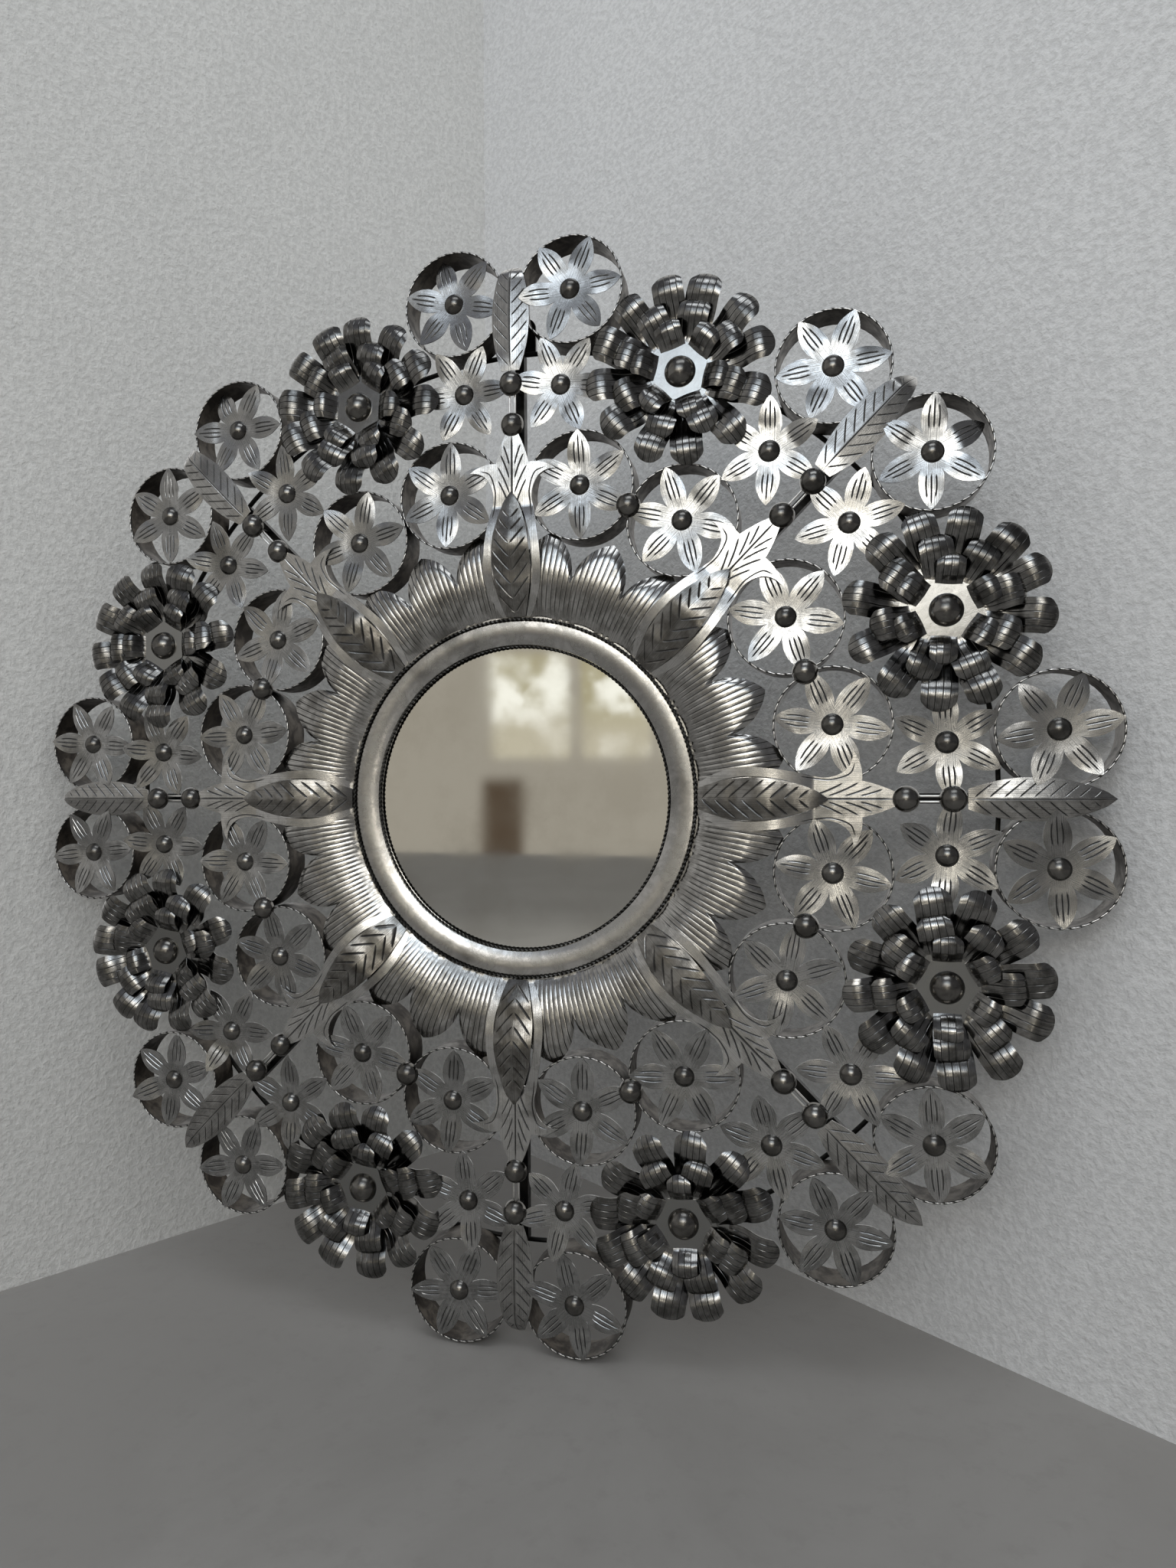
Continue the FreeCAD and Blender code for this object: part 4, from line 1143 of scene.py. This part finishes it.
def concrete():
    """A plain floor with a faint cloudiness."""
    material, nodes, place = start_material("grey_floor")
    cloud = nodes.noise(place, 3.2, 7.0, 0.62, 0.6)
    fine = nodes.noise(place, 38.0, 5.0, 0.65)
    color = nodes.blend(nodes.remap(cloud, 0.36, 0.64), (0.285, 0.275, 0.265), (0.325, 0.315, 0.305))
    color = nodes.blend(nodes.remap(fine, 0.50, 0.70, 0.0, 0.3), color, (0.25, 0.24, 0.23))
    nodes.surface({"Base Color": color, "Roughness": nodes.remap(cloud, 0.3, 0.7, 0.62, 0.80),
                   "Specular IOR Level": 0.35})
    return material


def room():
    """Two walls that meet behind the mirror, and the floor that it stands on."""
    for name, (way, color) in WALLS.items():
        far = CORNER + Vector((*way, 0.0)).normalized() * ROOM_LENGTH
        corners = [CORNER, far, far + WALL_TOP, CORNER + WALL_TOP]
        if way[0] < 0:
            # so that this wall's front faces the room too
            corners.reverse()
        plain_sheet(name, corners, plaster(name, color))
    r = ROOM_LENGTH
    plain_sheet("grey_floor", [(-r, -r, FLOOR), (r, -r, FLOOR), (r, r, FLOOR), (-r, r, FLOOR)], concrete())


room()


# ---------------------------------------------------------------- light

PANE_PITCH, PANE_BAR, PANE_COLUMNS = 0.276, 0.036, range(9)
WINDOW_LEFT, WINDOW_FAR = -1.24, -3.0
WARM, SKY = (1.0, 0.93, 0.80), (0.80, 0.90, 1.0)
# each row of panes: its foot and head, its columns, its colour and, if it is even, its glow
PANE_ROWS = (
    (-0.46, 0.10, (5,), WARM, 2.3),
    (0.30, 0.62, (3, 4, 5, 6), WARM, 1.7),
    (0.66, 1.24, PANE_COLUMNS, (1.0, 0.98, 0.93), None),
    (1.28, 1.86, PANE_COLUMNS, SKY, None),
    (1.90, 2.48, PANE_COLUMNS, SKY, None),
)


def lamp(name, place, size, glow, color, target=None):
    """A flat lamp of a width, a height and a brightness, aimed at a target or straight ahead."""
    light = bpy.data.lights.new(name, "AREA")
    light.shape = "RECTANGLE"
    light.size, light.size_y = size
    light.energy = glow * size[0] * size[1] * math.pi
    light.color = color
    obj = bpy.data.objects.new(name, light)
    obj.location = place
    aim = Vector(target) - Vector(place) if target else Vector((0, 1, 0))
    obj.rotation_euler = aim.to_track_quat("-Z", "Y").to_euler()
    obj.visible_camera = False
    bpy.context.scene.collection.objects.link(obj)


def window():
    """A wide glazed wall in front of the object, cooler and dimmer towards its top and its sides."""
    width = PANE_PITCH - PANE_BAR
    for column in PANE_COLUMNS:
        x = WINDOW_LEFT + column * PANE_PITCH + width / 2
        for row, (foot, head, columns, color, even) in enumerate(PANE_ROWS):
            if column in columns:
                z = (foot + head) / 2
                glow = even or 1.3 + 4.7 * math.exp(-((x - 0.14) / 0.74) ** 2 - ((z - 1.05) / 0.62) ** 2)
                lamp("pane_%d_%d" % (column, row), (x, WINDOW_FAR, z), (width, head - foot), glow, color)


window()
lamp("skylight", (0.3, -1.7, 3.5), (2.2, 1.2), 2.4, (0.90, 0.95, 1.0), (0, 0, 0))


def world():
    """The dim far side of the room, with a door and a garden window that the mirror shows."""
    made = bpy.data.worlds.new("room")
    bpy.context.scene.world = made
    made.use_nodes = True
    made.node_tree.nodes.clear()
    output = made.node_tree.nodes.new("ShaderNodeOutputWorld")
    nodes = Nodes(made.node_tree)
    direction = nodes.outputs("TexCoord")["Generated"]
    x, y, z = (nodes.add("SeparateXYZ", {0: direction}, axis) for axis in "XYZ")
    far = nodes.blend(nodes.remap(z, -0.30, -0.05), (0.15, 0.143, 0.135), (0.36, 0.335, 0.29))
    far = nodes.blend(nodes.remap(z, 0.12, 0.45), far, (0.17, 0.175, 0.195))
    far = nodes.blend(nodes.remap(x, 0.1, 0.45), far, (0.12, 0.12, 0.125))
    door = nodes.math("MULTIPLY", nodes.band(x, -0.355, -0.315, 0.008), nodes.band(z, -0.35, 0.0, 0.01))
    far = nodes.blend(door, far, (0.09, 0.065, 0.045))
    far = nodes.blend(nodes.remap(x, -0.60, -0.47, 1.0, 0.0), far, (0.40, 0.393, 0.38))
    # trees behind the panes that only the mirror shows
    leaves = nodes.noise(direction, 26.0, 5.0, 0.65)
    garden = nodes.blend(nodes.remap(leaves, 0.42, 0.60), (0.42, 0.38, 0.24), (1.05, 1.05, 0.98))
    garden = nodes.blend(nodes.remap(z, 0.04, 0.085, 0.75, 0.0), garden, (0.62, 0.58, 0.48))
    panes = nodes.math("MULTIPLY", nodes.band(x, -0.345, 0.0, 0.006), nodes.band(z, 0.022, 0.13, 0.006))
    for bar in (-0.262, -0.180):
        panes = nodes.math("SUBTRACT", panes, nodes.band(x, bar - 0.006, bar + 0.006, 0.004))
    # multiplying by one keeps the share between nought and one
    far = nodes.blend(nodes.math("MULTIPLY", panes, 1.0), far, garden)
    rays = nodes.outputs("LightPath")
    behind = nodes.blend(rays["Is Glossy Ray"], (0.60, 0.60, 0.59), (0.90, 0.90, 0.89))
    seen = nodes.blend(nodes.remap(y, -0.1, 0.4), far, behind)
    color = nodes.blend(rays["Is Diffuse Ray"], seen, (0.40, 0.40, 0.395))
    nodes.fill(output, {0: nodes.add("Background", {"Color": color})})


world()


# ---------------------------------------------------------------- camera

camera_data = bpy.data.cameras.new("camera")
camera_data.sensor_width = 36.0
camera_data.sensor_fit = "AUTO"
camera_data.lens = 21.95
camera = bpy.data.objects.new("camera", camera_data)
forward = Vector((-0.2505, 0.9681, -0.0054)).normalized()
side = forward.cross(Vector((0.0030, 0.0063, 0.99998))).normalized()
up = side.cross(forward)
turn = Matrix((side, up, -forward)).transposed().to_4x4()
camera.matrix_world = Matrix.Translation((0.3101, -0.9376, 0.0194)) @ turn
bpy.context.scene.collection.objects.link(camera)
bpy.context.scene.camera = camera
bpy.context.scene.view_settings.view_transform = "Standard"
